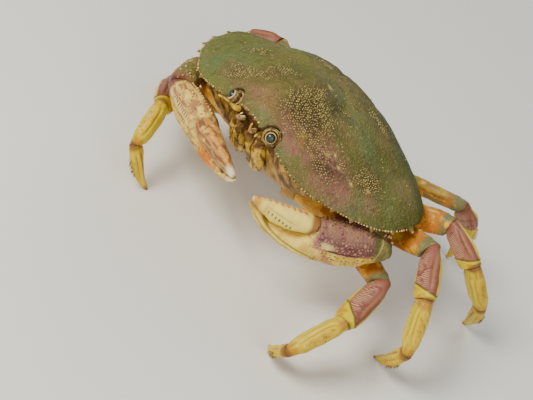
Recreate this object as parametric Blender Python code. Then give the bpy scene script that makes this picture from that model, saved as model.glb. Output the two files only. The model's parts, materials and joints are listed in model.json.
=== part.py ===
"""Dungeness crab, life size, standing still with both claws folded in front of it.

The front faces -Y, the crab's own left is +X and the floor is z = 0. The driving
dimensions below are in millimetres; every mesh is written in metres.
"""

import math

import bmesh
import bpy
import numpy as np
from mathutils import Matrix, Vector

MM = 0.001
GAP = 0.3
UP = np.array([0.0, 0.0, 1.0])

# Carapace: outline, height of its edge above the floor, and the swell of its top.
STANCE_LIFT = 22.0
HALF_WIDTH = 85.0
TIP_Y = 4.0
TIP_Z = 45.0 + STANCE_LIFT
FRONT_REACH = 58.9
FRONT_POWER = 2.18
FRONT_RISE = 13.6
BROW_REACH = 2.0
BROW_RISE = 10.0
BROW_WIDTH = 24.0
CHEEK_BULGE = 3.8
CHEEK_X = 42.0
CHEEK_WIDTH = 16.0
REAR_REACH = 43.8
REAR_HALF_WIDTH = 26.6
REAR_DROP = 8.1
CENTRE_Y = TIP_Y - 5.0
DOME_HEIGHT = 27.5
DOME_POWER = 2.2
DOME_ROUNDING = 0.82
EDGE_THICKNESS = 2.4
EDGE_TUCK = 0.985
FRONT_STEPS = 56
REAR_STEPS = 36
DOME_RINGS = 13

# Underside of the body.
SEAM_SCALE = 0.955
STERNUM_Z = 20.0 + STANCE_LIFT
SIDE_SLOPE = 1.05
END_SLOPE = 5.2
UNDER_RINGS = (1.0, 0.93, 0.84, 0.73, 0.6, 0.44, 0.25)

# Teeth along the front-side edge, from the eye (1) out to the widest point (10).
TOOTH_COUNT = 10
FIRST_TOOTH_ANGLE = 0.26
TOOTH_SPREAD = 1.39
TOOTH_LENGTH = 3.6
LAST_TOOTH_LENGTH = 6.0
TOOTH_WIDTH = 5.4
TOOTH_THICKNESS = 2.6
TOOTH_SINK = 2.6
TOOTH_SWEEP = 0.5
BROW_TEETH_X = (-8.6, -4.3, 0.0, 4.3, 8.6)
BROW_TOOTH_LENGTH = 2.6

# Eyes in their sockets.
EYE_X = 16.0
SOCKET_RADIUS = 6.0
EYE_RADIUS = 3.4

# Mouth: a sloping recess closed by two jaw plates.
MOUTH_TOP = np.array([0.0, -52.6, 61.0 + STANCE_LIFT])
MOUTH_BOTTOM = np.array([0.0, -44.0, 33.0 + STANCE_LIFT])
MOUTH_HALF_WIDTH = 17.0
PLATE_THICKNESS = 6.0

# Walking legs: joints from hip to toe, with heights above the floor. The right legs
# are given with their own joints, x measured outwards from the middle.
LEG_JOINTS = {
    "left_leg_1": ((41, -1, 36), (96, -14, 39), (107, -53, 37), (102, -79, 21), (86, -70, 0)),
    "left_leg_2": ((43, 12, 37), (100, 9, 62), (121, -12, 53), (133, -22, 28), (117, -15, 0)),
    "left_leg_3": ((41, 24, 38), (90.5, 37, 61.5), (115, 34, 55), (128, 46, 30), (122, 60, 0)),
    "left_leg_4": ((28, 43.5, 47.5), (80, 59, 60), (84, 72, 44), (82, 82, 24), (77, 91, 0)),
    "right_leg_1": ((41, -1, 36), (82, -34, 36), (60, -58, 43), (50, -78, 27), (38, -70, 0)),
    "right_leg_2": ((43, 12, 37), (96, 13, 38), (112, 27, 31), (116, 38, 14), (93, 42, 0)),
    "right_leg_3": ((41, 24, 38), (84, 52, 50), (104, 46, 40), (114, 62, 17), (100, 88, 0)),
    "right_leg_4": ((32, 40, 47), (67, 76, 38), (83, 89, 28), (93, 101, 13), (79, 115, 0)),
}
HIP_INSET = 9.0
SEGMENTS = ("merus", "carpus", "propodus", "dactyl")
LEG_HEIGHT = {"coxa": 13.0, "merus": 16.5, "carpus": 16.5, "propodus": 16.2, "dactyl": 10.0}
LEG_WIDTH = {"coxa": 10.0, "merus": 9.8, "carpus": 10.4, "propodus": 9.6, "dactyl": 7.0}
LAST_LEG_SCALE = 0.92
JOINT_SIZE = {"hip": (10.0, 8.4), "knee": (11.5, 8.6), "wrist": (12.0, 8.8), "ankle": (8.6, 7.0)}
TOE_SIZE = 2.4
TOE_CLEARANCE = 0.5
LEG_SIDES = 10

# Claws: joints from hip to wrist, then the hand from the wrist to its finger tips.
CLAW_JOINTS = {
    "left_claw": ((28, -23, 47), (66, -12, 52), (85, -13, 55)),
    "right_claw": ((-28, -23, 47), (-73, -24.5, 56), (-60, -51, 56)),
}
FINGER_TIPS = {"left_claw": (33, -73, 62), "right_claw": (19.5, -70, 60.5)}
HAND_LEAN = {"left_claw": 0.0, "right_claw": -0.45}
HAND_SAG = {"left_claw": 0.27, "right_claw": 0.04}
ARM_JOINT_SIZES = (11.5, 12.5, 12.0)
ARM_BODY = ((17.0, 15.0), (19.0, 18.0))
ARM_CLEARANCE = 0.5
HAND_HEIGHT = 28.0
HAND_THICKNESS = 19.0
CLAW_SIDES = 16
CLAW_TUBERCLES = 9

# The folded tail plate: (y, width) along it.
TAIL_STATIONS = ((-14, 3.5), (-6, 7.5), (6, 12.0), (18, 16.5), (28, 19.5), (36, 21.0), (41, 21.5))
TAIL_THICKNESS = 3.6
TAIL_Z = STERNUM_Z + 1.6
TAIL_TURN_Y = 12.0
TAIL_RISE = 0.052


# Plain colours by the end of a node's name; the last row is for the rest.
COLOURS = (
    (("carapace",), (0.20, 0.21, 0.12), 0.45),
    (("underbody", "tail_plate"), (0.62, 0.47, 0.22), 0.5),
    (("maxilliped", "antenna"), (0.62, 0.42, 0.13), 0.45),
    (("eyestalk",), (0.45, 0.36, 0.2), 0.5),
    (("eye",), (0.05, 0.055, 0.06), 0.15),
    (("merus",), (0.5, 0.2, 0.06), 0.45),
    (("carpus",), (0.42, 0.28, 0.22), 0.45),
    (("palm",), (0.5, 0.36, 0.26), 0.45),
    (("finger",), (0.66, 0.52, 0.28), 0.4),
    (("propodus", "dactyl"), (0.6, 0.4, 0.1), 0.42),
)


def vec(*values):
    """A point or direction as a numpy array."""
    return np.array(values, float)


def unit(vector):
    """The vector at length one."""
    return vector / np.linalg.norm(vector)


def clear_scene():
    """Remove every object and leave empty data behind."""
    for obj in list(bpy.data.objects):
        bpy.data.objects.remove(obj, do_unlink=True)
    for collection in list(bpy.data.collections):
        bpy.data.collections.remove(collection)


def make_collection(name, hidden=False):
    """A new collection under the scene, hidden from renders when it holds cutters."""
    collection = bpy.data.collections.new(name)
    bpy.context.scene.collection.children.link(collection)
    collection.hide_render = hidden
    return collection


def make_material(name, colour, roughness):
    """A Principled material for shell or for one of the soft parts."""
    material = bpy.data.materials.new(name)
    material.use_nodes = True
    shader = material.node_tree.nodes["Principled BSDF"]
    shader.inputs["Base Color"].default_value = (*colour, 1.0)
    shader.inputs["Roughness"].default_value = roughness
    shader.inputs["Metallic"].default_value = 0.0
    return material


def make_object(name, points, faces, collection):
    """A mesh object from points in millimetres, with its normals facing out."""
    mesh = bpy.data.meshes.new(name)
    mesh.from_pydata([tuple(p * MM) for p in np.asarray(points)], [], faces)
    shape = bmesh.new()
    shape.from_mesh(mesh)
    bmesh.ops.recalc_face_normals(shape, faces=shape.faces)
    bmesh.ops.triangulate(shape, faces=shape.faces)
    shape.to_mesh(mesh)
    shape.free()
    obj = bpy.data.objects.new(name, mesh)
    collection.objects.link(obj)
    return obj


def make_cutter(name, points, faces, cutters):
    """A helper solid that is drawn as wire and never rendered."""
    obj = make_object(name, points, faces, cutters)
    obj.display_type = "WIRE"
    obj.hide_render = True
    return obj


def loft_faces(ring_count, sides):
    """Quads between rings of points, with a fan to a middle point at each end."""
    faces = []
    for k in range(ring_count - 1):
        for i in range(sides):
            j = (i + 1) % sides
            faces.append((k * sides + i, k * sides + j, (k + 1) * sides + j, (k + 1) * sides + i))
    first, last = ring_count * sides, ring_count * sides + 1
    end = (ring_count - 1) * sides
    for i in range(sides):
        j = (i + 1) % sides
        faces.append((first, j, i))
        faces.append((last, end + i, end + j))
    return faces


def loft_points(rings):
    """All ring points, then the middle of the first and of the last ring."""
    return np.vstack([np.vstack(rings), rings[0].mean(axis=0), rings[-1].mean(axis=0)])


def loft(name, rings, collection):
    """A closed solid through rings that hold the same number of points."""
    return make_object(name, loft_points(rings), loft_faces(len(rings), len(rings[0])), collection)


def apply_boolean(obj, operation, collection, solver="EXACT"):
    """Join or cut the object with everything in the collection, then apply it."""
    modifier = obj.modifiers.new(operation.lower(), "BOOLEAN")
    modifier.operation = operation
    modifier.operand_type = "COLLECTION"
    modifier.collection = collection
    modifier.solver = solver
    with bpy.context.temp_override(object=obj, active_object=obj, selected_objects=[obj]):
        bpy.ops.object.modifier_apply(modifier=modifier.name)


def keep_largest(obj):
    """Drop loose scraps, so that the object is one closed surface."""
    shape = bmesh.new()
    shape.from_mesh(obj.data)
    bmesh.ops.remove_doubles(shape, verts=shape.verts, dist=0.000002)
    left = set(shape.faces)
    groups = []
    while left:
        stack = [left.pop()]
        group = list(stack)
        while stack:
            for edge in stack.pop().edges:
                for face in edge.link_faces:
                    if face in left:
                        left.remove(face)
                        stack.append(face)
                        group.append(face)
        groups.append(group)
    groups.sort(key=lambda faces: sum(face.calc_area() for face in faces))
    scraps = [face for group in groups[:-1] for face in group]
    bmesh.ops.delete(shape, geom=scraps, context="FACES")
    bmesh.ops.triangulate(shape, faces=shape.faces)
    shape.to_mesh(obj.data)
    shape.free()


def join_pieces(obj, pieces):
    """Fuse the pieces into the object with one union and remove them."""
    helper = make_collection(f"{obj.name}_pieces")
    for piece in pieces:
        for owner in list(piece.users_collection):
            owner.objects.unlink(piece)
        helper.objects.link(piece)
    apply_boolean(obj, "UNION", helper)
    for piece in list(helper.objects):
        bpy.data.objects.remove(piece, do_unlink=True)
    bpy.data.collections.remove(helper)
    keep_largest(obj)


def cut_pieces(obj, pieces):
    """Cut the pieces out of the object; they stay as hidden cutters."""
    helper = make_collection(f"{obj.name}_cuts", hidden=True)
    for piece in pieces:
        helper.objects.link(piece)
    apply_boolean(obj, "DIFFERENCE", helper)
    for piece in pieces:
        helper.objects.unlink(piece)
    bpy.data.collections.remove(helper)
    keep_largest(obj)


def front_edge(angle):
    """A point of the front and side edge; angle runs -pi/2 (right tip) to pi/2 (left tip)."""
    side, ahead = math.sin(angle), math.cos(angle)
    x = HALF_WIDTH * math.copysign(abs(side) ** (2 / FRONT_POWER), side)
    brow = math.exp(-((x / BROW_WIDTH) ** 2))
    cheek = math.exp(-(((abs(x) - CHEEK_X) / CHEEK_WIDTH) ** 2))
    y = TIP_Y - FRONT_REACH * abs(ahead) ** (2 / FRONT_POWER)
    y -= BROW_REACH * brow + CHEEK_BULGE * cheek
    z = TIP_Z + FRONT_RISE * (1 - (x / HALF_WIDTH) ** 2) + BROW_RISE * brow
    return vec(x * (1 + CHEEK_BULGE * cheek / CHEEK_X), y, z)


def rear_edge(share):
    """A point of the rear edge; share runs 0 at the left tip to 1 at the right tip."""
    angle = share * math.pi
    spread = math.copysign(abs(math.cos(angle)) ** 1.1, math.cos(angle))
    flat = REAR_HALF_WIDTH * math.copysign(min(1.0, abs(math.cos(angle)) * 6), math.cos(angle))
    x = flat + (HALF_WIDTH - REAR_HALF_WIDTH) * spread
    return vec(x, TIP_Y + REAR_REACH * math.sin(angle), TIP_Z - REAR_DROP * math.sin(angle))


def carapace_outline():
    """The whole edge of the carapace, once round."""
    front = [front_edge(a) for a in np.linspace(-math.pi / 2, math.pi / 2, FRONT_STEPS + 1)]
    rear = [rear_edge(s) for s in np.linspace(0, 1, REAR_STEPS + 1)[1:-1]]
    return np.array(front + rear)


CENTRE = vec(0, CENTRE_Y, TIP_Z + FRONT_RISE * 0.5)


def swell(x, y):
    """Low bulges of the stomach, heart and rear of the dome, and its hollowed flanks."""
    stomach = 1.6 * np.exp(-((x / 20) ** 2) - ((y + 24) / 17) ** 2)
    flanks = -6.0 * np.exp(-(((np.abs(x) - 60) / 19) ** 2) - ((y - 6) / 30) ** 2)
    rear = 5.0 * np.exp(-((x / 36) ** 2) - ((y - 30) / 9) ** 2)
    heart = 1.0 * np.exp(-((x / 12) ** 2) - ((y - 14) / 10) ** 2)
    groove = -1.5 * np.exp(-(((np.abs(x) - 21) / 5) ** 2) - ((y + 2) / 16) ** 2)
    return stomach + flanks + rear + heart + groove


def dome_ring(outline, scale):
    """A ring of the carapace's top, from its edge (1) towards its highest point (0)."""
    ring = CENTRE + (outline - CENTRE) * scale
    lift = DOME_HEIGHT * (1 - scale**DOME_POWER) ** DOME_ROUNDING
    ring[:, 2] += lift + swell(ring[:, 0], ring[:, 1]) * (1 - scale**6)
    return ring


def floor_ring(outline, scale, lower):
    """A ring of the even surface where the carapace sits on the underbody."""
    ring = CENTRE + (outline - CENTRE) * scale
    ring[:, 2] -= EDGE_THICKNESS + lower
    return ring


def tooth_angles():
    """Where the ten teeth stand along the left edge, closer together near the eye."""
    angles = np.linspace(FIRST_TOOTH_ANGLE, math.pi / 2, 200)
    path = np.array([front_edge(a)[:2] for a in angles])
    steps = np.concatenate([[0], np.cumsum(np.linalg.norm(np.diff(path, axis=0), axis=1))])
    shares = (np.arange(TOOTH_COUNT) / (TOOTH_COUNT - 1)) ** TOOTH_SPREAD
    return np.interp(shares * steps[-1], steps, angles)


def make_tooth(name, root, along, out, length, width, collection):
    """A flattened spike that stands out from the edge and is sunk into it."""
    lift = np.cross(out, along)
    lift *= math.copysign(1.0, lift[2])
    base = root - out * TOOTH_SINK
    corners = []
    for reach, size in ((0.0, 1.0), (TOOTH_SINK + length * 0.35, 0.72)):
        middle = base + out * reach
        for a, b in ((-1, 0), (0, -1), (1, 0), (0, 1)):
            corners.append(middle + along * a * width * 0.5 * size + lift * b * TOOTH_THICKNESS * 0.5 * size)
    corners.append(base + out * (TOOTH_SINK + length))
    faces = [(0, 1, 2, 3)]
    for i in range(4):
        j = (i + 1) % 4
        faces.append((i, j, 4 + j, 4 + i))
        faces.append((4 + i, 4 + j, 8))
    return make_object(name, corners, faces, collection)


def side_teeth(side, collection):
    """The ten teeth of one side."""
    teeth = []
    for k, angle in enumerate(tooth_angles()):
        here = front_edge(side * angle)
        ahead = front_edge(side * (angle - 0.02))
        along = unit((ahead - here) * vec(1, 1, 0))
        out = np.cross(along, UP) * -side
        out = unit(out * math.copysign(1.0, out[0] * side) + along * TOOTH_SWEEP)
        along = unit(np.cross(UP, out))
        last = k == TOOTH_COUNT - 1
        length = LAST_TOOTH_LENGTH if last else TOOTH_LENGTH * (0.75 + 0.04 * k)
        width = TOOTH_WIDTH * (1.2 if last else 0.7 + 0.045 * k)
        root = here - UP * 1.0
        teeth.append(make_tooth(f"tooth_{side}_{k}", root, along, out, length, width, collection))
    return teeth


def brow_teeth(collection):
    """The five small teeth between the eyes."""
    teeth = []
    for x in BROW_TEETH_X:
        angle = math.asin((abs(x) / HALF_WIDTH) ** (FRONT_POWER / 2)) * (1 if x >= 0 else -1)
        root = front_edge(angle) - UP * 1.0
        out = unit(vec(x * 0.02, -1, -0.05))
        along = unit(np.cross(UP, out))
        teeth.append(make_tooth(f"brow_{x}", root, along, out, BROW_TOOTH_LENGTH, 4.4, collection))
    return teeth


def make_sphere(name, centre, radius, collection, stretch=(1, 1, 1), segments=16, rings=10):
    """A closed ball at a point in millimetres, from Blender's own sphere."""
    mesh = bpy.data.meshes.new(name)
    shape = bmesh.new()
    bmesh.ops.create_uvsphere(shape, u_segments=segments, v_segments=rings, radius=radius * MM)
    place = Matrix.Translation(Vector(centre * MM)) @ Matrix.Diagonal((*stretch, 1))
    bmesh.ops.transform(shape, matrix=place, verts=shape.verts)
    bmesh.ops.triangulate(shape, faces=shape.faces)
    shape.to_mesh(mesh)
    shape.free()
    obj = bpy.data.objects.new(name, mesh)
    collection.objects.link(obj)
    return obj


def eye_centre(side):
    """The middle of one eye, just inside the edge of its socket."""
    angle = math.asin((EYE_X / HALF_WIDTH) ** (FRONT_POWER / 2)) * side
    return front_edge(angle) + vec(0, 1.8, -0.2)


def make_carapace(model, sockets):
    """The domed shell with its toothed edge and the two eye sockets cut from it."""
    outline = carapace_outline()
    rings = [floor_ring(outline, s, 0.0) for s in (0.1, 0.6, EDGE_TUCK)]
    rings += [dome_ring(outline, s) for s in np.linspace(1, 0.04, DOME_RINGS) ** 0.8]
    shell = loft("carapace", rings, model)
    join_pieces(shell, side_teeth(1, model) + side_teeth(-1, model) + brow_teeth(model))
    cut_pieces(shell, sockets)
    return shell


def slope_power(outline):
    """How steeply each side of the underbody falls: steep in front and behind."""
    away = outline - CENTRE
    ends = np.abs(away[:, 1]) / np.linalg.norm(away[:, :2], axis=1)
    return SIDE_SLOPE + (END_SLOPE - SIDE_SLOPE) * ends**3


def under_ring(outline, share):
    """A ring of the underside, from the seam (1) down to the breastplate (0)."""
    ring = floor_ring(outline, SEAM_SCALE * share, GAP)
    seam = floor_ring(outline, SEAM_SCALE, GAP)[:, 2]
    ring[:, 2] = STERNUM_Z + (seam - STERNUM_Z) * share ** slope_power(outline)
    return ring


def make_hips(model):
    """Short hip stubs that carry the legs and claws on the underbody."""
    hips = []
    for name, joints in leg_paths().items():
        inner = joints[0] - unit(joints[1] - joints[0]) * HIP_INSET
        size = leg_scale(name)
        rings = tube_rings([inner, joints[0]], [unit(joints[1] - joints[0])] * 2,
                           leg_frame(joints, 0), [(LEG_HEIGHT["coxa"], LEG_WIDTH["coxa"]),
                                                  JOINT_SIZE["hip"]],
                           size, LEG_SIDES, trims=(0, GAP / 2))
        hips.append(loft(f"{name}_hip", rings, model))
    for name, joints in claw_paths().items():
        way = unit(joints[1] - joints[0])
        rings = tube_rings([joints[0] - way * HIP_INSET, joints[0]], [way] * 2,
                           leg_frame(joints, 0), [(15, 14), (11.5, 11)], 1.0, LEG_SIDES,
                           trims=(0, GAP / 2))
        hips.append(loft(f"{name}_hip", rings, model))
    return hips


def make_underbody(model, cutters, sockets):
    """The underside with its hips, and the recess that the jaw plates close."""
    outline = carapace_outline()
    rings = [floor_ring(outline, SEAM_SCALE * s, GAP) for s in (0.1, 0.6)]
    rings += [under_ring(outline, s) for s in UNDER_RINGS]
    body = loft("underbody", rings, model)
    join_pieces(body, make_hips(model))
    cut_pieces(body, sockets + [mouth_cutter(cutters)] + arm_grooves(cutters) + [tail_groove(cutters)])
    return body


def arm_grooves(cutters):
    """Hollows under the shell that the upper claw arms fold into."""
    grooves = []
    for name, joints in claw_paths().items():
        path = joints + [joints[2] + hand_axes(name, joints)[0] * 30]
        rings = arm_rings(path, 0, ARM_CLEARANCE)
        points, faces = loft_points(rings), loft_faces(len(rings), LEG_SIDES)
        grooves.append(make_cutter(f"{name}_groove", points, faces, cutters))
    return grooves


def mouth_frame():
    """Down the mouth, out of it, and its middle and length."""
    down = MOUTH_BOTTOM - MOUTH_TOP
    length = np.linalg.norm(down)
    down = down / length
    out = unit(vec(0, down[2], -down[1]))
    return down, out, (MOUTH_TOP + MOUTH_BOTTOM) / 2, length


def mouth_box(x_low, x_high, low, high, from_wall, to_wall):
    """The eight corners of a box that lies on the sloping mouth plane."""
    down, out, middle, length = mouth_frame()
    corners = []
    for depth in (from_wall, to_wall):
        for x, share in ((x_low, low), (x_high, low), (x_high, high), (x_low, high)):
            corners.append(middle + vec(x, 0, 0) + down * share * length * 0.5 + out * depth)
    return corners


BOX_FACES = [(0, 1, 2, 3), (4, 5, 6, 7), (0, 1, 5, 4), (1, 2, 6, 5), (2, 3, 7, 6), (3, 0, 4, 7)]


def mouth_cutter(cutters):
    """The solid that is cut from the underbody for the mouth."""
    corners = mouth_box(-MOUTH_HALF_WIDTH, MOUTH_HALF_WIDTH, -1, 1, 0, 30)
    return make_cutter("mouth_recess", corners, BOX_FACES, cutters)


def make_jaw_plate(side, model):
    """One outer jaw: a long bowed plate with a jointed feeler along its inner edge."""
    down, out, middle, length = mouth_frame()
    name = "left_maxilliped" if side > 0 else "right_maxilliped"
    rings = []
    for share, width in ((-0.9, 7.0), (-0.6, 11.0), (-0.1, 13.5), (0.1, 13.6), (0.6, 13.0), (0.95, 9.0)):
        centre = middle + vec(side * 7.9, 0, 0) + down * share * length * 0.5
        bow = PLATE_THICKNESS * (1 - 0.45 * share * share)
        ring = []
        for a, b in ((-1, 0), (-0.97, 0.55), (-0.5, 0.95), (0, 1), (0.5, 0.95), (0.97, 0.55), (1, 0)):
            ring.append(centre + vec(a * width * 0.5, 0, 0) + out * (GAP + b * bow))
        rings.append(np.array(ring))
    plate = loft(name, rings, model)
    palp = palp_rings(side)
    join_pieces(plate, [loft(f"{name}_palp", palp, model)])
    return plate


def palp_rings(side):
    """Rings of the short jointed feeler that folds over a jaw plate."""
    down, out, middle, length = mouth_frame()
    places = ((2.4, -0.86), (4.6, -0.62), (6.2, -0.2), (5.6, 0.16))
    points = [middle + vec(side * x, 0, 0) + down * s * length * 0.5 + out * (GAP + PLATE_THICKNESS * 0.9)
              for x, s in places]
    ways = [unit(points[min(k + 1, 3)] - points[max(k - 1, 0)]) for k in range(4)]
    sizes = [(3.2, 3.2), (4.0, 3.6), (3.4, 3.2), (1.6, 1.6)]
    return tube_rings(points, ways, out, sizes, 1.0, 8)


def tube_rings(points, ways, up, sizes, scale, sides, trims=(0, 0), power=2.4):
    """Rings of a tube through points; each ring faces along its way, sized (height, width)."""
    rings = []
    last = len(points) - 1
    for k, (point, way, (tall, wide)) in enumerate(zip(points, ways, sizes)):
        height = unit(up - way * np.dot(up, way))
        width = np.cross(way, height)
        centre = point + way * (trims[0] if k == 0 else 0) - way * (trims[1] if k == last else 0)
        ring = []
        for i in range(sides):
            angle = math.tau * (i + 0.5) / sides
            c, s = math.cos(angle), math.sin(angle)
            reach = (abs(c) ** power + abs(s) ** power) ** (-1 / power)
            ring.append(centre + (width * c * wide + height * s * tall) * 0.5 * scale * reach)
        rings.append(np.array(ring))
    return rings


def leg_paths():
    """Every leg's joints in place, the right ones mirrored to their side."""
    paths = {}
    for name, joints in LEG_JOINTS.items():
        side = 1 if name.startswith("left") else -1
        paths[name] = [vec(side * x, y, z) for x, y, z in joints]
    return paths


def leg_scale(name):
    """The last pair of legs is smaller than the others."""
    return LAST_LEG_SCALE if name.endswith("4") else 1.0


def claw_paths():
    """Every claw arm's joints, from the hip to the wrist."""
    return {name: [vec(*joint) for joint in joints] for name, joints in CLAW_JOINTS.items()}


def leg_frame(joints, index):
    """The upward side of one leg segment, in the plane that the leg bends in."""
    ways = [unit(b - a) for a, b in zip(joints, joints[1:])]
    bend = np.zeros(3)
    for k in (index - 1, index):
        if 0 <= k < len(ways) - 1:
            bend += np.cross(ways[k], ways[k + 1])
    plane = np.cross(ways[index], UP)
    side = math.copysign(1.0, np.dot(bend, plane)) if np.linalg.norm(bend) > 0.1 else 1.0
    across = bend * side if np.linalg.norm(bend) > 0.35 else plane
    top = np.cross(across, ways[index])
    top = top - ways[index] * np.dot(top, ways[index])
    return unit(top if top[2] >= 0 or index > 2 else -top)


def joint_way(joints, index):
    """The direction in which the face of a joint looks: halfway round its bend."""
    if index == 0:
        return unit(joints[1] - joints[0])
    before = unit(joints[index] - joints[index - 1])
    after = unit(joints[index + 1] - joints[index])
    return unit(before + after)


def keep_behind(ring, point, facing):
    """Push ring points that cross a joint's face back onto it, square to the face."""
    depth = (ring - point) @ facing
    return ring + np.outer(np.maximum(0.0, GAP / 2 - depth), facing)


def segment_rings(start, end, face_in, face_out, up, in_size, out_size, body, scale, profile):
    """Rings of one limb segment between the faces of its two joints."""
    way = unit(end - start)
    length = np.linalg.norm(end - start)
    points, ways, sizes = [start], [face_in], [in_size]
    for share, tall, wide in profile:
        points.append(start + way * share * length)
        ways.append(way)
        sizes.append((body[0] * tall, body[1] * wide))
    points.append(end)
    ways.append(face_out)
    sizes.append(out_size)
    rings = tube_rings(points, ways, up, sizes, scale, LEG_SIDES, trims=(GAP / 2, GAP / 2))
    middle = [keep_behind(keep_behind(r, start, face_in), end, -face_out) for r in rings[1:-1]]
    return [rings[0]] + middle + [rings[-1]]


PROFILES = {
    "merus": ((0.1, 0.72, 0.85), (0.35, 0.98, 1.0), (0.7, 1.0, 1.0), (0.92, 0.86, 0.95)),
    "carpus": ((0.16, 0.8, 0.85), (0.45, 1.0, 1.0), (0.86, 0.98, 1.0)),
    "propodus": ((0.16, 0.92, 0.95), (0.5, 1.0, 1.0), (0.86, 0.84, 0.9)),
}


def make_leg(name, joints, model):
    """The four moving segments of one walking leg, toe on the floor."""
    scale = leg_scale(name)
    knees = [JOINT_SIZE[k] for k in ("hip", "knee", "wrist", "ankle")]
    for k, segment in enumerate(SEGMENTS[:3]):
        rings = segment_rings(joints[k], joints[k + 1], joint_way(joints, k), joint_way(joints, k + 1),
                              leg_frame(joints, k), knees[k], knees[k + 1],
                              (LEG_HEIGHT[segment], LEG_WIDTH[segment]), scale, PROFILES[segment])
        loft(f"{name}_{segment}", rings, model)
    make_toe(name, joints, scale, model)


def make_toe(name, joints, scale, model):
    """The last segment: a curved spike that ends in a small flat on the floor."""
    start, end = joints[3], joints[4]
    way = unit(end - start)
    before = unit(joints[3] - joints[2])
    bow = before - way * np.dot(before, way)
    up = leg_frame(joints, 3)
    face = joint_way(joints, 3)
    length = np.linalg.norm(end - start)
    points, ways, sizes = [start + face * GAP / 2], [face], [JOINT_SIZE["ankle"]]
    for share, size in ((0.2, 1.0), (0.42, 0.88), (0.64, 0.7), (0.84, 0.46)):
        arc = math.sin(share * math.pi) * 0.1 * length
        points.append(start + way * share * length + bow * arc)
        ways.append(way)
        sizes.append((LEG_HEIGHT["dactyl"] * size, LEG_WIDTH["dactyl"] * size))
    points.append(vec(end[0], end[1], 0))
    ways.append(-UP)
    sizes.append((TOE_SIZE, TOE_SIZE))
    rings = tube_rings(points, ways, up, sizes, scale, LEG_SIDES)
    rings = [rings[0]] + [keep_behind(ring, start, face) for ring in rings[1:-1]] + [rings[-1]]
    for ring in rings[1:-1]:
        ring[:, 2] = np.maximum(ring[:, 2], TOE_CLEARANCE)
    loft(f"{name}_dactyl", rings, model)


def arm_rings(path, index, extra=0.0):
    """Rings of the upper arm (0) or wrist block (1) of a claw, thickened by an extra."""
    sizes = [(size + 2 * extra, size + 2 * extra) for size in ARM_JOINT_SIZES[index : index + 2]]
    body = tuple(size + 2 * extra for size in ARM_BODY[index])
    up = leg_frame(path, 0) if index == 0 else UP
    return segment_rings(path[index], path[index + 1], joint_way(path, index), joint_way(path, index + 1),
                         up, sizes[0], sizes[1], body, 1.0, PROFILES[SEGMENTS[index]])


def make_claw_arm(name, joints, hand_way, model):
    """The upper arm and wrist block of one claw."""
    path = joints + [joints[2] + hand_way * 30]
    for index, segment in enumerate(SEGMENTS[:2]):
        loft(f"{name}_{segment}", arm_rings(path, index), model)


def hand_axes(name, joints):
    """Along the hand, up its back, and out through its front face, which leans by an angle."""
    along = unit(vec(*FINGER_TIPS[name]) - joints[2])
    level = unit(np.cross(UP, along))
    level *= math.copysign(1.0, -level[1])
    upright = np.cross(level, along)
    upright *= math.copysign(1.0, upright[2])
    lean = HAND_LEAN[name]
    back = upright * math.cos(lean) - level * math.sin(lean)
    outer = level * math.cos(lean) + upright * math.sin(lean)
    return along, back, outer


# Side view of the hand: share along it, lower edge, upper edge, thickness, as shares
# of the hand's height and thickness. The upper edge steps down where the finger joins.
PALM_PROFILE = (
    (0.05, -0.32, 0.3, 0.72), (0.12, -0.43, 0.42, 0.9), (0.24, -0.5, 0.5, 1.0),
    (0.38, -0.5, 0.5, 1.0), (0.47, -0.485, 0.45, 0.95), (0.56, -0.47, 0.0, 0.8),
    (0.68, -0.43, -0.12, 0.62), (0.8, -0.35, -0.14, 0.48), (0.91, -0.2, -0.05, 0.33),
    (0.985, 0.0, 0.06, 0.16),
)
FINGER_PROFILE = (
    (0.6, 0.03, 0.44, 0.66), (0.7, -0.06, 0.42, 0.56), (0.8, -0.08, 0.36, 0.46),
    (0.9, 0.0, 0.28, 0.32), (0.975, 0.09, 0.18, 0.16),
)


def hand_point(hand, share, height, side=0.0):
    """A point of the hand: share along it, then millimetres up its back and out of its face."""
    sag = hand["sag"] * HAND_HEIGHT * math.sin(math.pi * share) ** 0.8
    along = hand["wrist"] + hand["along"] * share * hand["length"]
    return along + hand["back"] * (height - sag) + hand["outer"] * side


def hand_ring(hand, row):
    """One upright ring of the palm or finger."""
    share, low, high, thick = row
    middle = (low + high) * 0.5 * HAND_HEIGHT
    half = (high - low) * 0.5 * HAND_HEIGHT
    ring = []
    for i in range(CLAW_SIDES):
        angle = math.tau * (i + 0.5) / CLAW_SIDES
        c, s = math.cos(angle), math.sin(angle)
        reach = (abs(c) ** 2.3 + abs(s) ** 2.3) ** (-1 / 2.3)
        side = HAND_THICKNESS * 0.5 * thick * c * reach
        ring.append(hand_point(hand, share, middle + half * s * reach, side))
    return np.array(ring)


def hand_of(name, joints):
    """Where one hand stands: its wrist, its axes, its length and how far its middle sags."""
    along, back, outer = hand_axes(name, joints)
    length = np.linalg.norm(vec(*FINGER_TIPS[name]) - joints[2])
    return {"name": name, "wrist": joints[2], "along": along, "back": back,
            "outer": outer, "length": length, "sag": HAND_SAG[name]}


def make_hand(name, joints, model):
    """The palm with its fixed finger, and the moving finger above it."""
    hand = hand_of(name, joints)
    wrist = hand["wrist"]
    face = unit(unit(joints[2] - joints[1]) + hand["along"])
    size = (ARM_JOINT_SIZES[2], ARM_JOINT_SIZES[2])
    first = tube_rings([wrist + face * GAP / 2], [face], hand["back"], [size], 1.0, CLAW_SIDES)
    first[0] = align_ring(first[0], hand_ring(hand, PALM_PROFILE[0]))
    rows = [row for row in PALM_PROFILE if row[0] * hand["length"] > 6.0]
    rings = [keep_behind(hand_ring(hand, row), wrist, face) for row in rows]
    palm = loft(f"{name}_palm", first + rings, model)
    join_pieces(palm, biting_teeth(hand, -1, model))
    make_finger(hand, model)


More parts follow.
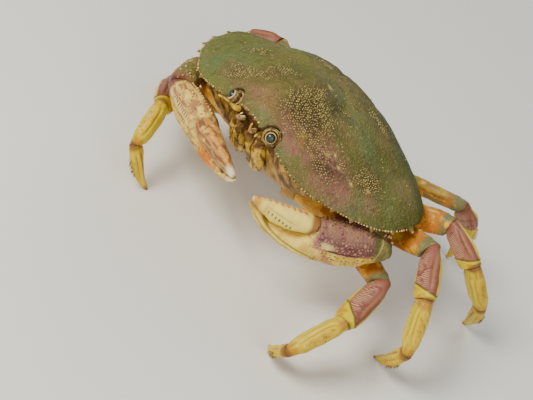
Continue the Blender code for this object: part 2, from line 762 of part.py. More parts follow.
def align_ring(ring, target):
    """The ring's points reordered so that each lies nearest its partner in the target."""
    centred = ring - ring.mean(axis=0)
    goal = target - target.mean(axis=0)
    best = None
    for flip in (centred, centred[::-1]):
        for shift in range(len(ring)):
            turned = np.roll(flip, shift, axis=0)
            cost = np.linalg.norm(turned - goal)
            if best is None or cost < best[0]:
                best = (cost, turned)
    return best[1] + ring.mean(axis=0)


def make_finger(hand, model):
    """The moving finger, with the row of knobs along its back."""
    name = hand["name"]
    low = hand_point(hand, 0.56, 0.0)
    high = hand_point(hand, 0.47, 0.45 * HAND_HEIGHT)
    slope = unit(high - low)
    normal = unit(hand["along"] - slope * np.dot(hand["along"], slope))
    centre = low + (high - low) * 0.56 + normal * GAP
    size = (HAND_HEIGHT * 0.36, HAND_THICKNESS * 0.62)
    first = tube_rings([centre], [normal], slope, [size], 1.0, CLAW_SIDES)
    rings = [hand_ring(hand, row) for row in FINGER_PROFILE]
    first[0] = align_ring(first[0], rings[0])
    finger = loft(f"{name}_finger", first + rings, model)
    join_pieces(finger, back_knobs(hand, model) + biting_teeth(hand, 1, model))


def profile_at(profile, share):
    """Lower edge, upper edge and thickness at a share of the hand's length."""
    rows = np.array(profile)
    return [float(np.interp(share, rows[:, 0], rows[:, k])) for k in (1, 2, 3)]


def back_knobs(hand, model):
    """Blunt knobs along the back of the moving finger."""
    knobs = []
    for k in range(CLAW_TUBERCLES):
        share = 0.61 + 0.34 * k / (CLAW_TUBERCLES - 1)
        high = profile_at(FINGER_PROFILE, share)[1] * HAND_HEIGHT
        size = 1.7 - 0.09 * k
        place = hand_point(hand, share, high - size * 0.25)
        knobs.append(make_sphere(f"{hand['name']}_knob_{k}", place, size, model, segments=6, rings=4))
    return knobs


def biting_teeth(hand, side, model):
    """Low rounded teeth along the biting edge of one finger, out of step with the other's."""
    teeth = []
    for k in range(5):
        share = 0.64 + 0.062 * k + (0.031 if side > 0 else 0)
        low = profile_at(FINGER_PROFILE, share)[0] * HAND_HEIGHT
        high = profile_at(PALM_PROFILE, share)[1] * HAND_HEIGHT
        edge = low + 0.55 if side > 0 else high - 0.55
        place = hand_point(hand, share, edge)
        size = 1.55 - 0.14 * k
        tooth = f"{hand['name']}_bite_{side}_{k}"
        teeth.append(make_sphere(tooth, place, size, model, segments=6, rings=4))
    return teeth


def make_eye(side, model):
    """One eye: a short stalk from the inner wall of the socket and a round tip."""
    centre = eye_centre(side)
    name = "left" if side > 0 else "right"
    outward = unit(vec(side * 0.55, -0.75, 0.35))
    ball = make_sphere(f"{name}_eye", centre + outward * 1.7, EYE_RADIUS, model, segments=16, rings=12)
    root = centre + unit(vec(-side * 0.75, 0.55, -0.25)) * (SOCKET_RADIUS - GAP - 0.25)
    tip = centre + outward * (1.7 - EYE_RADIUS - GAP + 0.35)
    way = unit(tip - root)
    stalk = tube_rings([root, root + way * 1.2, (root + tip) * 0.5, tip], [way, way, way, outward], UP,
                       [(2.6, 2.6), (3.8, 3.8), (4.4, 4.4), (3.2, 3.2)], 1.0, 10)
    loft(f"{name}_eyestalk", stalk, model)
    return ball


def make_antenna(side, model):
    """One antenna: a thick base below the brow and a thin tapering lash."""
    name = "left_antenna" if side > 0 else "right_antenna"
    root = front_edge(0.0) * vec(0, 1, 1) + vec(side * 10.2, 2.6, -7.2)
    points = [root, root + vec(side * 0.6, -2.2, 0.6), root + vec(side * 1.2, -4.4, 1.6)]
    for k in (1, 2, 3, 4):
        share = k / 4
        rise = 1.6 + 9.0 * share - 3 * share**2
        points.append(root + vec(side * (1.2 + 5.0 * share), -4.4 - 9.0 * share, rise))
    ways = [unit(points[min(k + 1, len(points) - 1)] - points[max(k - 1, 0)]) for k in range(len(points))]
    sizes = [(3.4, 3.4), (3.6, 3.6), (2.6, 2.6)] + [(1.7 - 0.22 * k, 1.7 - 0.22 * k) for k in range(4)]
    return loft(name, tube_rings(points, ways, UP, sizes, 1.0, 8), model)


def tail_rings(extra=0.0, lift=0.0, drop=0.0):
    """Rings of the tail plate, flat where it lies against the body and bowed below."""
    rings = []
    for y, width in TAIL_STATIONS:
        top = TAIL_Z + TAIL_RISE * max(0.0, y - TAIL_TURN_Y) ** 1.6
        ring = []
        for a, b in ((-1, 0), (1, 0), (0.98, -0.6), (0.5, -1), (-0.5, -1), (-0.98, -0.6)):
            ring.append(vec(a * (width * 0.5 + extra), y, top + lift + b * (TAIL_THICKNESS + drop)))
        rings.append(np.array(ring))
    rings[0][:, 1] -= extra
    rings[-1][:, 1] += extra
    return rings


def make_tail(model):
    """The narrow tail plate folded flat under the rear of the body."""
    return loft("tail_plate", tail_rings(), model)


def tail_groove(cutters):
    """The shallow bed in the underbody that the tail plate lies in."""
    rings = tail_rings(GAP, GAP, 8.0)
    return make_cutter("tail_groove", loft_points(rings), loft_faces(len(rings), 6), cutters)


def colour_of(name):
    """Plain colour and roughness for one node, by what it is."""
    for words, colour, roughness in COLOURS:
        if any(name.endswith(word) for word in words):
            return colour, roughness
    return COLOURS[-1][1:]


def paint(model):
    """Give every node its own material."""
    for obj in model.objects:
        colour, roughness = colour_of(obj.name)
        obj.data.materials.clear()
        obj.data.materials.append(make_material(f"{obj.name}_shell", colour, roughness))


def centre_model(model):
    """Move all nodes so that the middle of the bounding box stands over the origin, on the floor."""
    low = np.full(3, np.inf)
    high = np.full(3, -np.inf)
    for obj in model.objects:
        points = np.array([v.co for v in obj.data.vertices])
        low = np.minimum(low, points.min(axis=0))
        high = np.maximum(high, points.max(axis=0))
    shift = vec(-(low[0] + high[0]) / 2, -(low[1] + high[1]) / 2, -low[2])
    for obj in model.objects:
        obj.data.transform(Matrix.Translation(Vector(shift)))


def main():
    """Build every node of the crab."""
    clear_scene()
    model = make_collection("dungeness_crab")
    cutters = make_collection("cutters", hidden=True)
    sockets = []
    for side in (1, -1):
        place = eye_centre(side)
        ball = make_sphere(f"socket_{side}", place, SOCKET_RADIUS, cutters, segments=20, rings=14)
        ball.display_type = "WIRE"
        ball.hide_render = True
        sockets.append(ball)
    make_carapace(model, sockets)
    make_underbody(model, cutters, sockets)
    for side in (1, -1):
        make_jaw_plate(side, model)
        make_eye(side, model)
        make_antenna(side, model)
    make_tail(model)
    for name, joints in leg_paths().items():
        make_leg(name, joints, model)
    for name, joints in claw_paths().items():
        make_claw_arm(name, joints, hand_axes(name, joints)[0], model)
        make_hand(name, joints, model)
    paint(model)
    centre_model(model)


main()
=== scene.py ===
import json
import math

import bpy
import numpy as np
from mathutils import Matrix, Vector

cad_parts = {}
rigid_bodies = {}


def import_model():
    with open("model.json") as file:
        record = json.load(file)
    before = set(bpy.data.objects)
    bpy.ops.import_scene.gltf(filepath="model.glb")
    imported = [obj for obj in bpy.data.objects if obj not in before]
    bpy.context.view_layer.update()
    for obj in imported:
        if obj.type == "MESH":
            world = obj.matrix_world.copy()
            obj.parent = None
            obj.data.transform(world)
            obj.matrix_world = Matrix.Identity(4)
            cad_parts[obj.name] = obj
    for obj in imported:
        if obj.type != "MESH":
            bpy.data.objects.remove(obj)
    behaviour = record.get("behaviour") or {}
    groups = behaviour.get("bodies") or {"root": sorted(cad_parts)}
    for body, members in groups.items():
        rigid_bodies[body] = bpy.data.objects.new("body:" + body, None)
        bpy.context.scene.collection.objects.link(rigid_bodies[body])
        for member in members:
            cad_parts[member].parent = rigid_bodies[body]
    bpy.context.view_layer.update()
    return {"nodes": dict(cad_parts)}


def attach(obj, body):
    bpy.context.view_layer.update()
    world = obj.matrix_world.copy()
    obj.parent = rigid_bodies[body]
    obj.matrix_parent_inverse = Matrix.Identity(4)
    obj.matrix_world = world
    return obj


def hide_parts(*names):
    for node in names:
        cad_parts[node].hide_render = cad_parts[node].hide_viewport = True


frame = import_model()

# Places and sizes are in millimetres: the crab faces -Y, its left is +X and the floor is
# z = 0. PLACE is where the crab's own middle stands. Meshes are written in metres.
MM = 0.001
PLACE = np.array([-7.75, -16.39, 0.0])
UP = np.array([0.0, 0.0, 1.0])
RNG = np.random.default_rng(17)

# The shell's edge without its teeth: the widest place, the front with its brow and cheeks,
# and the rear. Then the dome over it.
HALF_WIDTH, TIP_Y, TIP_Z = 85.0, 4.0, 67.0
FRONT_REACH, FRONT_POWER, FRONT_RISE = 58.9, 2.18, 13.6
BROW_WIDTH, BROW_REACH, BROW_RISE = 24.0, 2.0, 10.0
CHEEK_PLACE, CHEEK_WIDTH, CHEEK_REACH = 42.0, 16.0, 3.8
REAR_REACH, REAR_HALF_WIDTH, REAR_DROP = 43.8, 26.6, 8.1
FRONT_POINTS, REAR_POINTS = 361, 241
DOME_HEIGHT, DOME_POWER, DOME_ROUNDING = 27.5, 2.2, 0.82
DOME_CENTRE = np.array([0.0, -1.0, 73.8]) + PLACE
EYE_SIDE, EYE_AHEAD, EYE_HEIGHT, EYE_RADIUS = 16.1, -53.94, 86.33, 3.4

SIDES = (("left", 1), ("right", -1))

# The joints of each leg from hip to toe, the right ones written as if on the left.
LEG_JOINTS = {
    "left_leg_1": ((41, -1, 36), (96, -14, 39), (107, -53, 37), (102, -79, 21), (86, -70, 0)),
    "left_leg_2": ((43, 12, 37), (100, 9, 62), (121, -12, 53), (133, -22, 28), (117, -15, 0)),
    "left_leg_3": ((41, 24, 38), (90.5, 37, 61.5), (115, 34, 55), (128, 46, 30), (122, 60, 0)),
    "left_leg_4": ((28, 43.5, 47.5), (80, 59, 60), (84, 72, 44), (82, 82, 24), (77, 91, 0)),
    "right_leg_1": ((41, -1, 36), (82, -34, 36), (60, -58, 43), (50, -78, 27), (38, -70, 0)),
    "right_leg_2": ((43, 12, 37), (96, 13, 38), (112, 27, 31), (116, 38, 14), (93, 42, 0)),
    "right_leg_3": ((41, 24, 38), (84, 52, 50), (104, 46, 40), (114, 62, 17), (100, 88, 0)),
    "right_leg_4": ((32, 40, 47), (67, 76, 38), (83, 89, 28), (93, 101, 13), (79, 115, 0)),
}
SEGMENTS = ("merus", "carpus", "propodus", "dactyl")

# A segment counts as straight while the sines of the bends at its ends add up to less.
SLIGHT_BEND = 0.35

# Hip, elbow, wrist and fingertip of each claw. Then how far a hand's back leans away from its
# face, in radians, and how far its middle line bows down, as a share of its height.
CLAW_JOINTS = {
    "left_claw": ((28, -23, 47), (66, -12, 52), (85, -13, 55), (33, -73, 62)),
    "right_claw": ((-28, -23, 47), (-73, -24.5, 56), (-60, -51, 56), (19.5, -70, 60.5)),
}
HAND_LEAN = {"left_claw": 0.0, "right_claw": -0.45}
HAND_SAG = {"left_claw": 0.27, "right_claw": 0.04}
HAND_HEIGHT, HAND_THICKNESS, ARM_HEIGHT = 28.0, 19.0, 18.0

# Where a moving finger begins along its hand, and how much of the hand it takes up.
FINGER_ROOT, FINGER_REACH = 0.52, 0.46

# How fast beads and pits follow each other along a hand, in radians over its length.
BEAD_BEAT, PIT_BEAT = 250, 210

# The rows of beads on each palm, as shares of half its thickness out from its middle.
BEAD_ROWS = {"left_claw": (-0.36, 0.0, 0.36), "right_claw": (-0.64, -0.25, 0.36)}

# The strips on the face lean back by this many radians and are drawn out this much.
FACE_LEAN, FACE_STRETCH = 0.685, 4.0

# How sharp an edge must be to keep its crease when a limb is rounded, in degrees.
SHARP = 48

# Streaks across a carpus, knobs on each wrist block, and bristles on each lower leg segment
# and each jaw plate.
STREAKS, WRIST_SPINES, EDGE_BRISTLES, JAW_BRISTLES = 26, 26, 46, 90

# The camera's place and its ways right and up, its focal length and the picture's width in
# pixels, and its sensor's width.
CAMERA_PLACE = (271.65, -440.82, 421.42)
CAMERA_RIGHT, CAMERA_UP = (0.58602, 0.73382, 0.34365), (-0.68704, 0.22513, 0.69087)
CAMERA_FOCUS, PICTURE_WIDTH, SENSOR_WIDTH = 1077.74, 533, 36


# Small tools


def unit(vector):
    """The vector at length one."""
    return vector / np.linalg.norm(vector)


def only(piece):
    """Select this piece alone and make it active."""
    bpy.ops.object.select_all(action="DESELECT")
    piece.select_set(True)
    bpy.context.view_layer.objects.active = piece


def apply_modifier(piece, kind, **settings):
    """Add one modifier with its settings and apply it."""
    only(piece)
    modifier = piece.modifiers.new(kind.lower(), kind)
    for key, value in settings.items():
        setattr(modifier, key, value)
    bpy.ops.object.modifier_apply(modifier=modifier.name)


def points_of(piece):
    """All vertices in millimetres."""
    flat = np.empty(len(piece.data.vertices) * 3)
    piece.data.vertices.foreach_get("co", flat)
    return flat.reshape(-1, 3) / MM


def normals_of(piece):
    """All vertex normals."""
    flat = np.empty(len(piece.data.vertices) * 3)
    piece.data.vertices.foreach_get("normal", flat)
    return flat.reshape(-1, 3)


def move_points(piece, points):
    """Write the vertices back, given in millimetres."""
    piece.data.vertices.foreach_set("co", (points * MM).ravel())
    piece.data.update()


def store(piece, **fields):
    """Keep named values per vertex for the materials to read."""
    for name, values in fields.items():
        layer = piece.data.attributes.new(name, "FLOAT", "POINT")
        layer.data.foreach_set("value", np.asarray(values, float))


def node_copy(node, quads=True):
    """A merged copy of one solid's mesh, as a piece of its own."""
    mesh = frame["nodes"][node].data.copy()
    piece = bpy.data.objects.new(f"{node}_shell", mesh)
    bpy.context.scene.collection.objects.link(piece)
    mesh.materials.clear()
    only(piece)
    if mesh.has_custom_normals:
        bpy.ops.mesh.customdata_custom_splitnormals_clear()
    bpy.ops.object.mode_set(mode="EDIT")
    bpy.ops.mesh.select_all(action="SELECT")
    bpy.ops.mesh.remove_doubles(threshold=0.00002)
    if quads:
        bpy.ops.mesh.tris_convert_to_quads(face_threshold=1.2, shape_threshold=1.2)
    bpy.ops.object.mode_set(mode="OBJECT")
    return piece


def hold_edges(piece, angle, crease):
    """Crease the edges sharper than an angle, so that a subdivided end keeps its rim."""
    only(piece)
    bpy.ops.object.mode_set(mode="EDIT")
    bpy.ops.mesh.select_mode(type="EDGE")
    bpy.ops.mesh.select_all(action="DESELECT")
    bpy.ops.mesh.edges_select_sharp(sharpness=math.radians(angle))
    bpy.ops.transform.edge_crease(value=crease)
    bpy.ops.mesh.select_mode(type="VERT")
    bpy.ops.object.mode_set(mode="OBJECT")


def subdivide(piece, levels):
    """Round the piece by subdivision."""
    apply_modifier(piece, "SUBSURF", levels=levels, render_levels=levels)


def remesh(piece, voxel, rounds):
    """One even skin over the piece, then smoothed."""
    apply_modifier(piece, "REMESH", mode="VOXEL", voxel_size=voxel * MM, adaptivity=0.0)
    apply_modifier(piece, "SMOOTH", iterations=rounds, factor=0.5)


def raise_surface(piece, lift):
    """Move every vertex along its normal by its own lift."""
    points = points_of(piece) + normals_of(piece) * lift[:, None]
    move_points(piece, points)


def finish(piece, material, nodes=()):
    """Shade and colour a piece, and set it in the model in place of its solids."""
    only(piece)
    bpy.ops.object.shade_smooth()
    piece.data.materials.clear()
    piece.data.materials.append(material)
    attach(piece, "root")
    if nodes:
        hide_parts(*nodes)


def new_piece(name, points, faces):
    """A mesh object from points in millimetres."""
    mesh = bpy.data.meshes.new(name)
    mesh.from_pydata([tuple(p) for p in np.asarray(points) * MM], [], faces)
    piece = bpy.data.objects.new(name, mesh)
    bpy.context.scene.collection.objects.link(piece)
    return piece


def bead_shape():
    """The few faces of one bead, taken from an icosphere primitive."""
    bpy.ops.object.select_all(action="DESELECT")
    bpy.ops.mesh.primitive_ico_sphere_add(subdivisions=1, radius=1.0)
    ball = bpy.context.object
    corners = np.array([v.co for v in ball.data.vertices])
    faces = [tuple(f.vertices) for f in ball.data.polygons]
    bpy.data.objects.remove(ball, do_unlink=True)
    return corners, faces


def scatter(name, places, outs, sizes, tall):
    """Many small beads as one piece, each drawn out along its own direction."""
    corners, faces = bead_shape()
    points, polygons = [], []
    for place, out, size in zip(places, outs, sizes):
        out = unit(np.asarray(out, float))
        stretch = np.eye(3) + np.outer(out, out) * (tall - 1)
        base = len(points) * len(corners)
        points.append(corners @ stretch * size + place)
        polygons += [tuple(base + i for i in face) for face in faces]
    return new_piece(name, np.vstack(points), polygons)


def ring_round(centre, way, guide, radius, sides):
    """Points evenly round a centre, square to a way; the guide sets where they start."""
    first = unit(np.cross(way, guide))
    second = np.cross(way, first)
    turns = [j / sides * math.tau for j in range(sides)]
    return [centre + (first * math.cos(turn) + second * math.sin(turn)) * radius for turn in turns]


def wave(points, size, seed):
    """Smooth seeded unevenness between about -1 and 1, with features of a given size."""
    rng = np.random.default_rng(seed)
    total = np.zeros(len(points))
    waves = 9
    for _ in range(waves):
        way = unit(rng.normal(size=3)) * rng.uniform(0.7, 1.5) * math.tau / size
        total += np.sin(points @ way + rng.uniform(0, math.tau))
    return total / (0.4 * waves)


def ramp(value, low, high):
    """A smooth step from 0 at low to 1 at high."""
    share = np.clip((value - low) / (high - low), 0, 1)
    return share * share * (3 - 2 * share)


def furrow(value, middle, width):
    """1 at a middle value, falling to nothing over a width on both sides."""
    return np.exp(-(((value - middle) / width) ** 2))


# Materials


class Wire:
    """A socket of a material's nodes, which Python's arithmetic works on."""

    def __init__(self, tree, socket):
        self.tree, self.socket = tree, socket

    def node(self, kind, settings=None, sockets=None, output=0):
        """A new node: its settings first, then values or wires into its sockets."""
        made = self.tree.nodes.new(kind)
        for key, value in (settings or {}).items():
            setattr(made, key, value)
        for key, value in (sockets or {}).items():
            if isinstance(value, Wire):
                self.tree.links.new(value.socket, made.inputs[key])
            elif value is not None:
                made.inputs[key].default_value = value
        return Wire(self.tree, made.outputs[output])

    def math(self, operation, first, second=None):
        """One step of arithmetic on numbers or wires."""
        return self.node("ShaderNodeMath", {"operation": operation}, {0: first, 1: second})

    def __add__(self, other):
        return self.math("ADD", self, other)

    def __sub__(self, other):
        return self.math("SUBTRACT", self, other)

    def __mul__(self, other):
        return self.math("MULTIPLY", self, other)

    def __rsub__(self, other):
        return self.math("SUBTRACT", other, self)

    def __abs__(self):
        return self.math("ABSOLUTE", self)

    __radd__ = __add__
    __rmul__ = __mul__

    def sine(self):
        """The sine of the value in radians."""
        return self.math("SINE", self)

    def step(self, low, high):
        """0 below low and 1 above high, with a soft change between."""
        return self.node("ShaderNodeMapRange", {"interpolation_type": "SMOOTHSTEP"},
                         {"Value": self, "From Min": low, "From Max": high})

    def band(self, middle, half):
        """1 at a middle value, falling softly to 0 a half-width away."""
        return 1 - abs(self - middle).step(half * 0.35, half)

    def clear(self):
        """Held between 0 and 1."""
        return self.node("ShaderNodeClamp", {}, {"Value": self})


class Finish:
    """One material being mixed: its coordinates, its layers of colour and its relief."""

    def __init__(self, name, ground, roughness, coat, specular=0.2):
        self.material = bpy.data.materials.new(name)
        self.material.use_nodes = True
        tree = self.material.node_tree
        self.shader = tree.nodes["Principled BSDF"]
        self.maker = Wire(tree, None)
        self.place = self.maker.node("ShaderNodeTexCoord", output="Object")
        self.colour = self.maker.node("ShaderNodeRGB")
        self.colour.socket.default_value = (*ground, 1)
        self.rough = roughness
        self.shader.inputs["Coat Weight"].default_value = coat
        self.shader.inputs["Coat Roughness"].default_value = 0.2
        self.shader.inputs["Specular IOR Level"].default_value = specular
        self.height = None

    def field(self, name):
        """A value stored on the piece's vertices, or 0 on a piece that doesn't have it."""
        return self.maker.node("ShaderNodeAttribute", {"attribute_name": name}, output="Fac")

    def fields(self, *names):
        """Several stored values."""
        return [self.field(name) for name in names]

    def leaning(self):
        """Object coordinates drawn out along the lean of the face."""
        sockets = {"Vector": self.place, "Rotation": (FACE_LEAN, 0, 0), "Scale": (1, 1, FACE_STRETCH)}
        return self.maker.node("ShaderNodeMapping", {"vector_type": "TEXTURE"}, sockets)

    def lengthwise(self, *scales):
        """A limb's own coordinates along, upward and across, each scaled, to draw streaks out."""
        runs = [field * scale for field, scale in zip(self.fields("along", "upward", "across"), scales)]
        return self.maker.node("ShaderNodeCombineXYZ", {}, dict(enumerate(runs)))

    def noise(self, size, detail=3.0, rough=0.5, vector=None, twist=0.0):
        """Soft noise from 0 to 1, with features of a size in millimetres."""
        sockets = {"Vector": vector or self.place, "Scale": 1 / (size * MM), "Detail": detail,
                   "Roughness": rough, "Distortion": twist}
        return self.maker.node("ShaderNodeTexNoise", {}, sockets)

    def cells(self, size, feature="F1"):
        """Distance to scattered points a size in millimetres apart, about 0 to 1."""
        sockets = {"Vector": self.place, "Scale": 1 / (size * MM)}
        return self.maker.node("ShaderNodeTexVoronoi", {"feature": feature}, sockets)

    def lay(self, mask, colour):
        """A further colour, where the mask is 1."""
        sockets = {0: mask, 6: self.colour, 7: (*colour, 1)}
        self.colour = self.maker.node("ShaderNodeMix", {"data_type": "RGBA"}, sockets, 2)

    def raise_by(self, height):
        """Add to the relief, in units of the depth that the finish is done with."""
        self.height = height if self.height is None else self.height + height

    def done(self, depth=0.1):
        """Connect everything and hand the material over; the depth is in millimetres."""
        links = self.material.node_tree.links
        links.new(self.colour.socket, self.shader.inputs["Base Color"])
        if isinstance(self.rough, Wire):
            links.new(self.rough.socket, self.shader.inputs["Roughness"])
        else:
            self.shader.inputs["Roughness"].default_value = self.rough
        if self.height is not None:
            sockets = {"Height": self.height, "Distance": depth * MM, "Strength": 1.0}
            bump = self.maker.node("ShaderNodeBump", {}, sockets)
            links.new(bump.socket, self.shader.inputs["Normal"])
        return self.material


def mottle(mix, dark, light, size):
    """Fine and coarse unevenness of colour, in a darker and a paler tone."""
    mix.lay(mix.noise(size, 5, 0.6).step(0.5, 0.72) * 0.6, dark)
    mix.lay(mix.noise(size * 0.43, 4, 0.6, twist=0.4).step(0.54, 0.75) * 0.5, light)


def grain(mix, size, amount):
    """Fine granules in the relief."""
    mix.raise_by((1 - mix.cells(size).step(0.1, 0.62)) * amount)
    mix.raise_by(mix.noise(size * 0.5, 3) * amount * 0.5)


def carapace_finish():
    """Olive and mauve shell with an ochre margin, cream tooth tips and brown eye sockets."""
    mix = Finish("carapace_olive_mauve", (0.108, 0.104, 0.022), 0.5, 0.02, specular=0.14)
    mix.lay(mix.noise(26, 4, 0.55).step(0.42, 0.62) * 0.7, (0.2, 0.14, 0.045))
    mix.lay(mix.field("side") * mix.noise(16, 4).step(0.25, 0.5), (0.118, 0.142, 0.028))
    green = (mix.field("green") * mix.noise(14, 4, 0.6).step(0.2, 0.45)).clear()
    mix.lay(green, (0.042, 0.06, 0.004))
    mix.lay(mix.field("teal") * mix.noise(7, 4).step(0.25, 0.6), (0.085, 0.15, 0.06))
    mauve = mix.field("mauve") * mix.noise(9, 5, 0.65).step(0.25, 0.55)
    mix.lay(mauve.clear(), (0.27, 0.115, 0.085))
    mix.lay(mix.field("ochre") * 0.8, (0.3, 0.16, 0.035))
    mix.lay(mix.noise(4.5, 5, 0.7).step(0.5, 0.66) * 0.5, (0.055, 0.045, 0.016))
    mix.lay(mix.noise(2.6, 3, 0.6).step(0.55, 0.7) * (1 - green * 0.7) * 0.45, (0.3, 0.25, 0.08))
    crowded = (mix.field("grains") * mix.noise(3.5, 3).step(0.25, 0.5)).clear()
    mix.lay(crowded * 0.85, (0.045, 0.028, 0.012))
    speckle = 1 - mix.cells(1.5).step(0.16, 0.34)
    mix.lay(speckle * (1 - green * 0.5) * 0.42, (0.36, 0.29, 0.1))
    mix.lay(mix.field("spots") * mix.noise(2.5, 3).step(0.3, 0.5), (0.62, 0.47, 0.14))
    rim = mix.field("rim")
    mix.lay(rim.step(0.35, 0.95) * mix.noise(5, 4).step(0.3, 0.6), (0.24, 0.12, 0.03))
    mix.lay(rim.step(1.2, 1.7), (0.7, 0.5, 0.2))
    mix.lay(mix.field("under").step(0.3, 0.8), (0.36, 0.2, 0.05))
    orbit = mix.field("orbit")
    mix.lay((1 - orbit.step(5.6, 8.6)) * mix.noise(3, 3).step(0.3, 0.6), (0.16, 0.11, 0.045))
    mix.lay(1 - orbit.step(4.7, 5.9), (0.07, 0.038, 0.012))
    grain(mix, 1.5, 1.2)
    mix.raise_by(mix.noise(4, 5, 0.6) * 2.2)
    mix.rough = mix.noise(5, 3) * 0.2 + 0.5
    return mix.done(0.3)


def underside_finish():
    """Cream on the breast with painted shade on its front, ochre on the hips, and brown and yellow
    slanted strips on the face.
    """
    mix = Finish("underside_cream", (0.6, 0.42, 0.16), 0.5, 0.04)
    mottle(mix, (0.3, 0.15, 0.035), (0.7, 0.46, 0.12), 5)
    face = mix.field("height").step(0.12, 0.45)
    strips = mix.noise(3.4, 4, 0.55, vector=mix.leaning())
    mix.lay(face * 0.9, (0.36, 0.19, 0.025))
    mix.lay(face * strips.step(0.5, 0.58) * 0.9, (0.085, 0.038, 0.01))
    mix.lay(face * (1 - strips.step(0.38, 0.46)) * 0.9, (0.66, 0.42, 0.07))
    # Painted shade: the front of the breast below the face, under the claws, mottled darker brown.
    painted_shade_chest = mix.field("front") * (1 - face) * mix.noise(5, 3).step(0.3, 0.6)
    mix.lay(painted_shade_chest * 0.8, (0.34, 0.19, 0.04))
    mix.lay(mix.field("brow") * mix.noise(3, 3).step(0.2, 0.45) * 0.9, (0.1, 0.038, 0.014))
    mix.lay(mix.field("hip") * mix.noise(4, 3).step(0.25, 0.6) * 0.8, (0.45, 0.25, 0.05))
    mix.raise_by(face * (1 - strips) * 4.0)
    mix.lay(mix.field("furrow").step(0.2, 0.8) * 0.8, (0.2, 0.1, 0.03))
    grain(mix, 1.1, 0.6)
    return mix.done(0.14)


def mouth_finish():
    """Yellow with slanted lines, dark seams and a brown upper end."""
    mix = Finish("mouthpart_yellow", (0.72, 0.46, 0.05), 0.4, 0.1)
    lines = mix.noise(2.4, 4, vector=mix.leaning())
    mix.lay(lines.step(0.5, 0.58) * 0.9, (0.16, 0.07, 0.012))
    mix.lay((1 - lines.step(0.36, 0.44)) * 0.7, (0.88, 0.66, 0.16))
    mix.lay(mix.field("top") * mix.noise(2.6, 3).step(0.2, 0.5) * 0.9, (0.1, 0.038, 0.014))
    mix.lay(mix.field("groove").step(0.2, 0.7) * 0.9, (0.07, 0.028, 0.008))
    mix.raise_by(lines * 2.0)
    grain(mix, 0.9, 0.4)
    return mix.done()


def eye_finish():
    """A dark grey cornea inside pale and dark rings, with an orange foot."""
    mix = Finish("eye_cornea", (0.012, 0.015, 0.014), 0.12, 0.35)
    facing = mix.field("facing")
    mix.lay(facing.step(0.86, 0.99) * 0.8, (0.06, 0.072, 0.066))
    mix.lay(1 - facing.step(0.79, 0.82), (0.62, 0.46, 0.13))
    mix.lay(1 - facing.step(0.68, 0.71), (0.05, 0.03, 0.012))
    mix.lay((1 - facing.step(0.6, 0.64)) * mix.noise(1.4, 2).step(0.3, 0.5), (0.32, 0.25, 0.1))
    mix.lay(1 - facing.step(0.1, 0.2), (0.5, 0.17, 0.03))
    mix.rough = 0.5 - facing.step(0.78, 0.82) * 0.38
    return mix.done()


def stalk_finish():
    """Orange-brown with cream and dark blotches."""
    mix = Finish("eyestalk_cream", (0.55, 0.25, 0.06), 0.4, 0.1)
    mix.lay(mix.noise(2.2, 3).step(0.45, 0.6), (0.7, 0.55, 0.25))
    mix.lay(mix.noise(3.0, 3).step(0.5, 0.6) * 0.7, (0.14, 0.06, 0.02))
    grain(mix, 0.8, 0.3)
    return mix.done()


def add_seams(mix, along, pale=0.5):
    """Pale ridges, brown furrows and dark soft joints at both ends."""
    mix.lay(mix.field("ridge").step(0.3, 0.9) * pale, (0.8, 0.58, 0.03))
    mix.lay(mix.field("furrow").step(0.35, 0.85) * 0.8, (0.2, 0.085, 0.02))
    mix.lay((1 - along.step(-0.05, 0.02)) * 0.8, (0.15, 0.07, 0.025))
    mix.lay(along.step(0.985, 1.05) * 0.8, (0.15, 0.075, 0.03))


def merus_finish():
    """Golden orange with red blotches towards the knee and a grey-green collar."""
    mix = Finish("merus_orange", (0.74, 0.43, 0.03), 0.42, 0.05)
    along, upward = mix.fields("along", "upward")
    mix.lay(mix.noise(8, 4, 0.6).step(0.48, 0.62) * 0.7, (0.42, 0.13, 0.012))
    blotch = (along.step(0.35, 0.75) * mix.noise(5, 4, 0.6).step(0.32, 0.52)).clear()
    mix.lay(blotch * 0.75, (0.4, 0.07, 0.01))
    mix.lay(mix.noise(4, 3).step(0.56, 0.68) * 0.8, (0.75, 0.42, 0.05))
    crest = (upward.step(0.7, 0.98) * mix.noise(5, 3).step(0.35, 0.55)).clear()
    mix.lay(crest * 0.8, (0.17, 0.08, 0.04))
    mix.lay(mix.field("hind") * mix.noise(7, 4).step(0.35, 0.6) * 0.85, (0.24, 0.17, 0.035))
    mix.lay((1 - mix.cells(3.0).step(0.06, 0.16)) * 0.8, (0.06, 0.02, 0.01))
    mix.lay(along.step(0.86, 0.95) * mix.noise(5, 3).step(0.25, 0.5), (0.15, 0.15, 0.06))
    add_seams(mix, along)
    grain(mix, 1.3, 1.0)
    return mix.done(0.16)


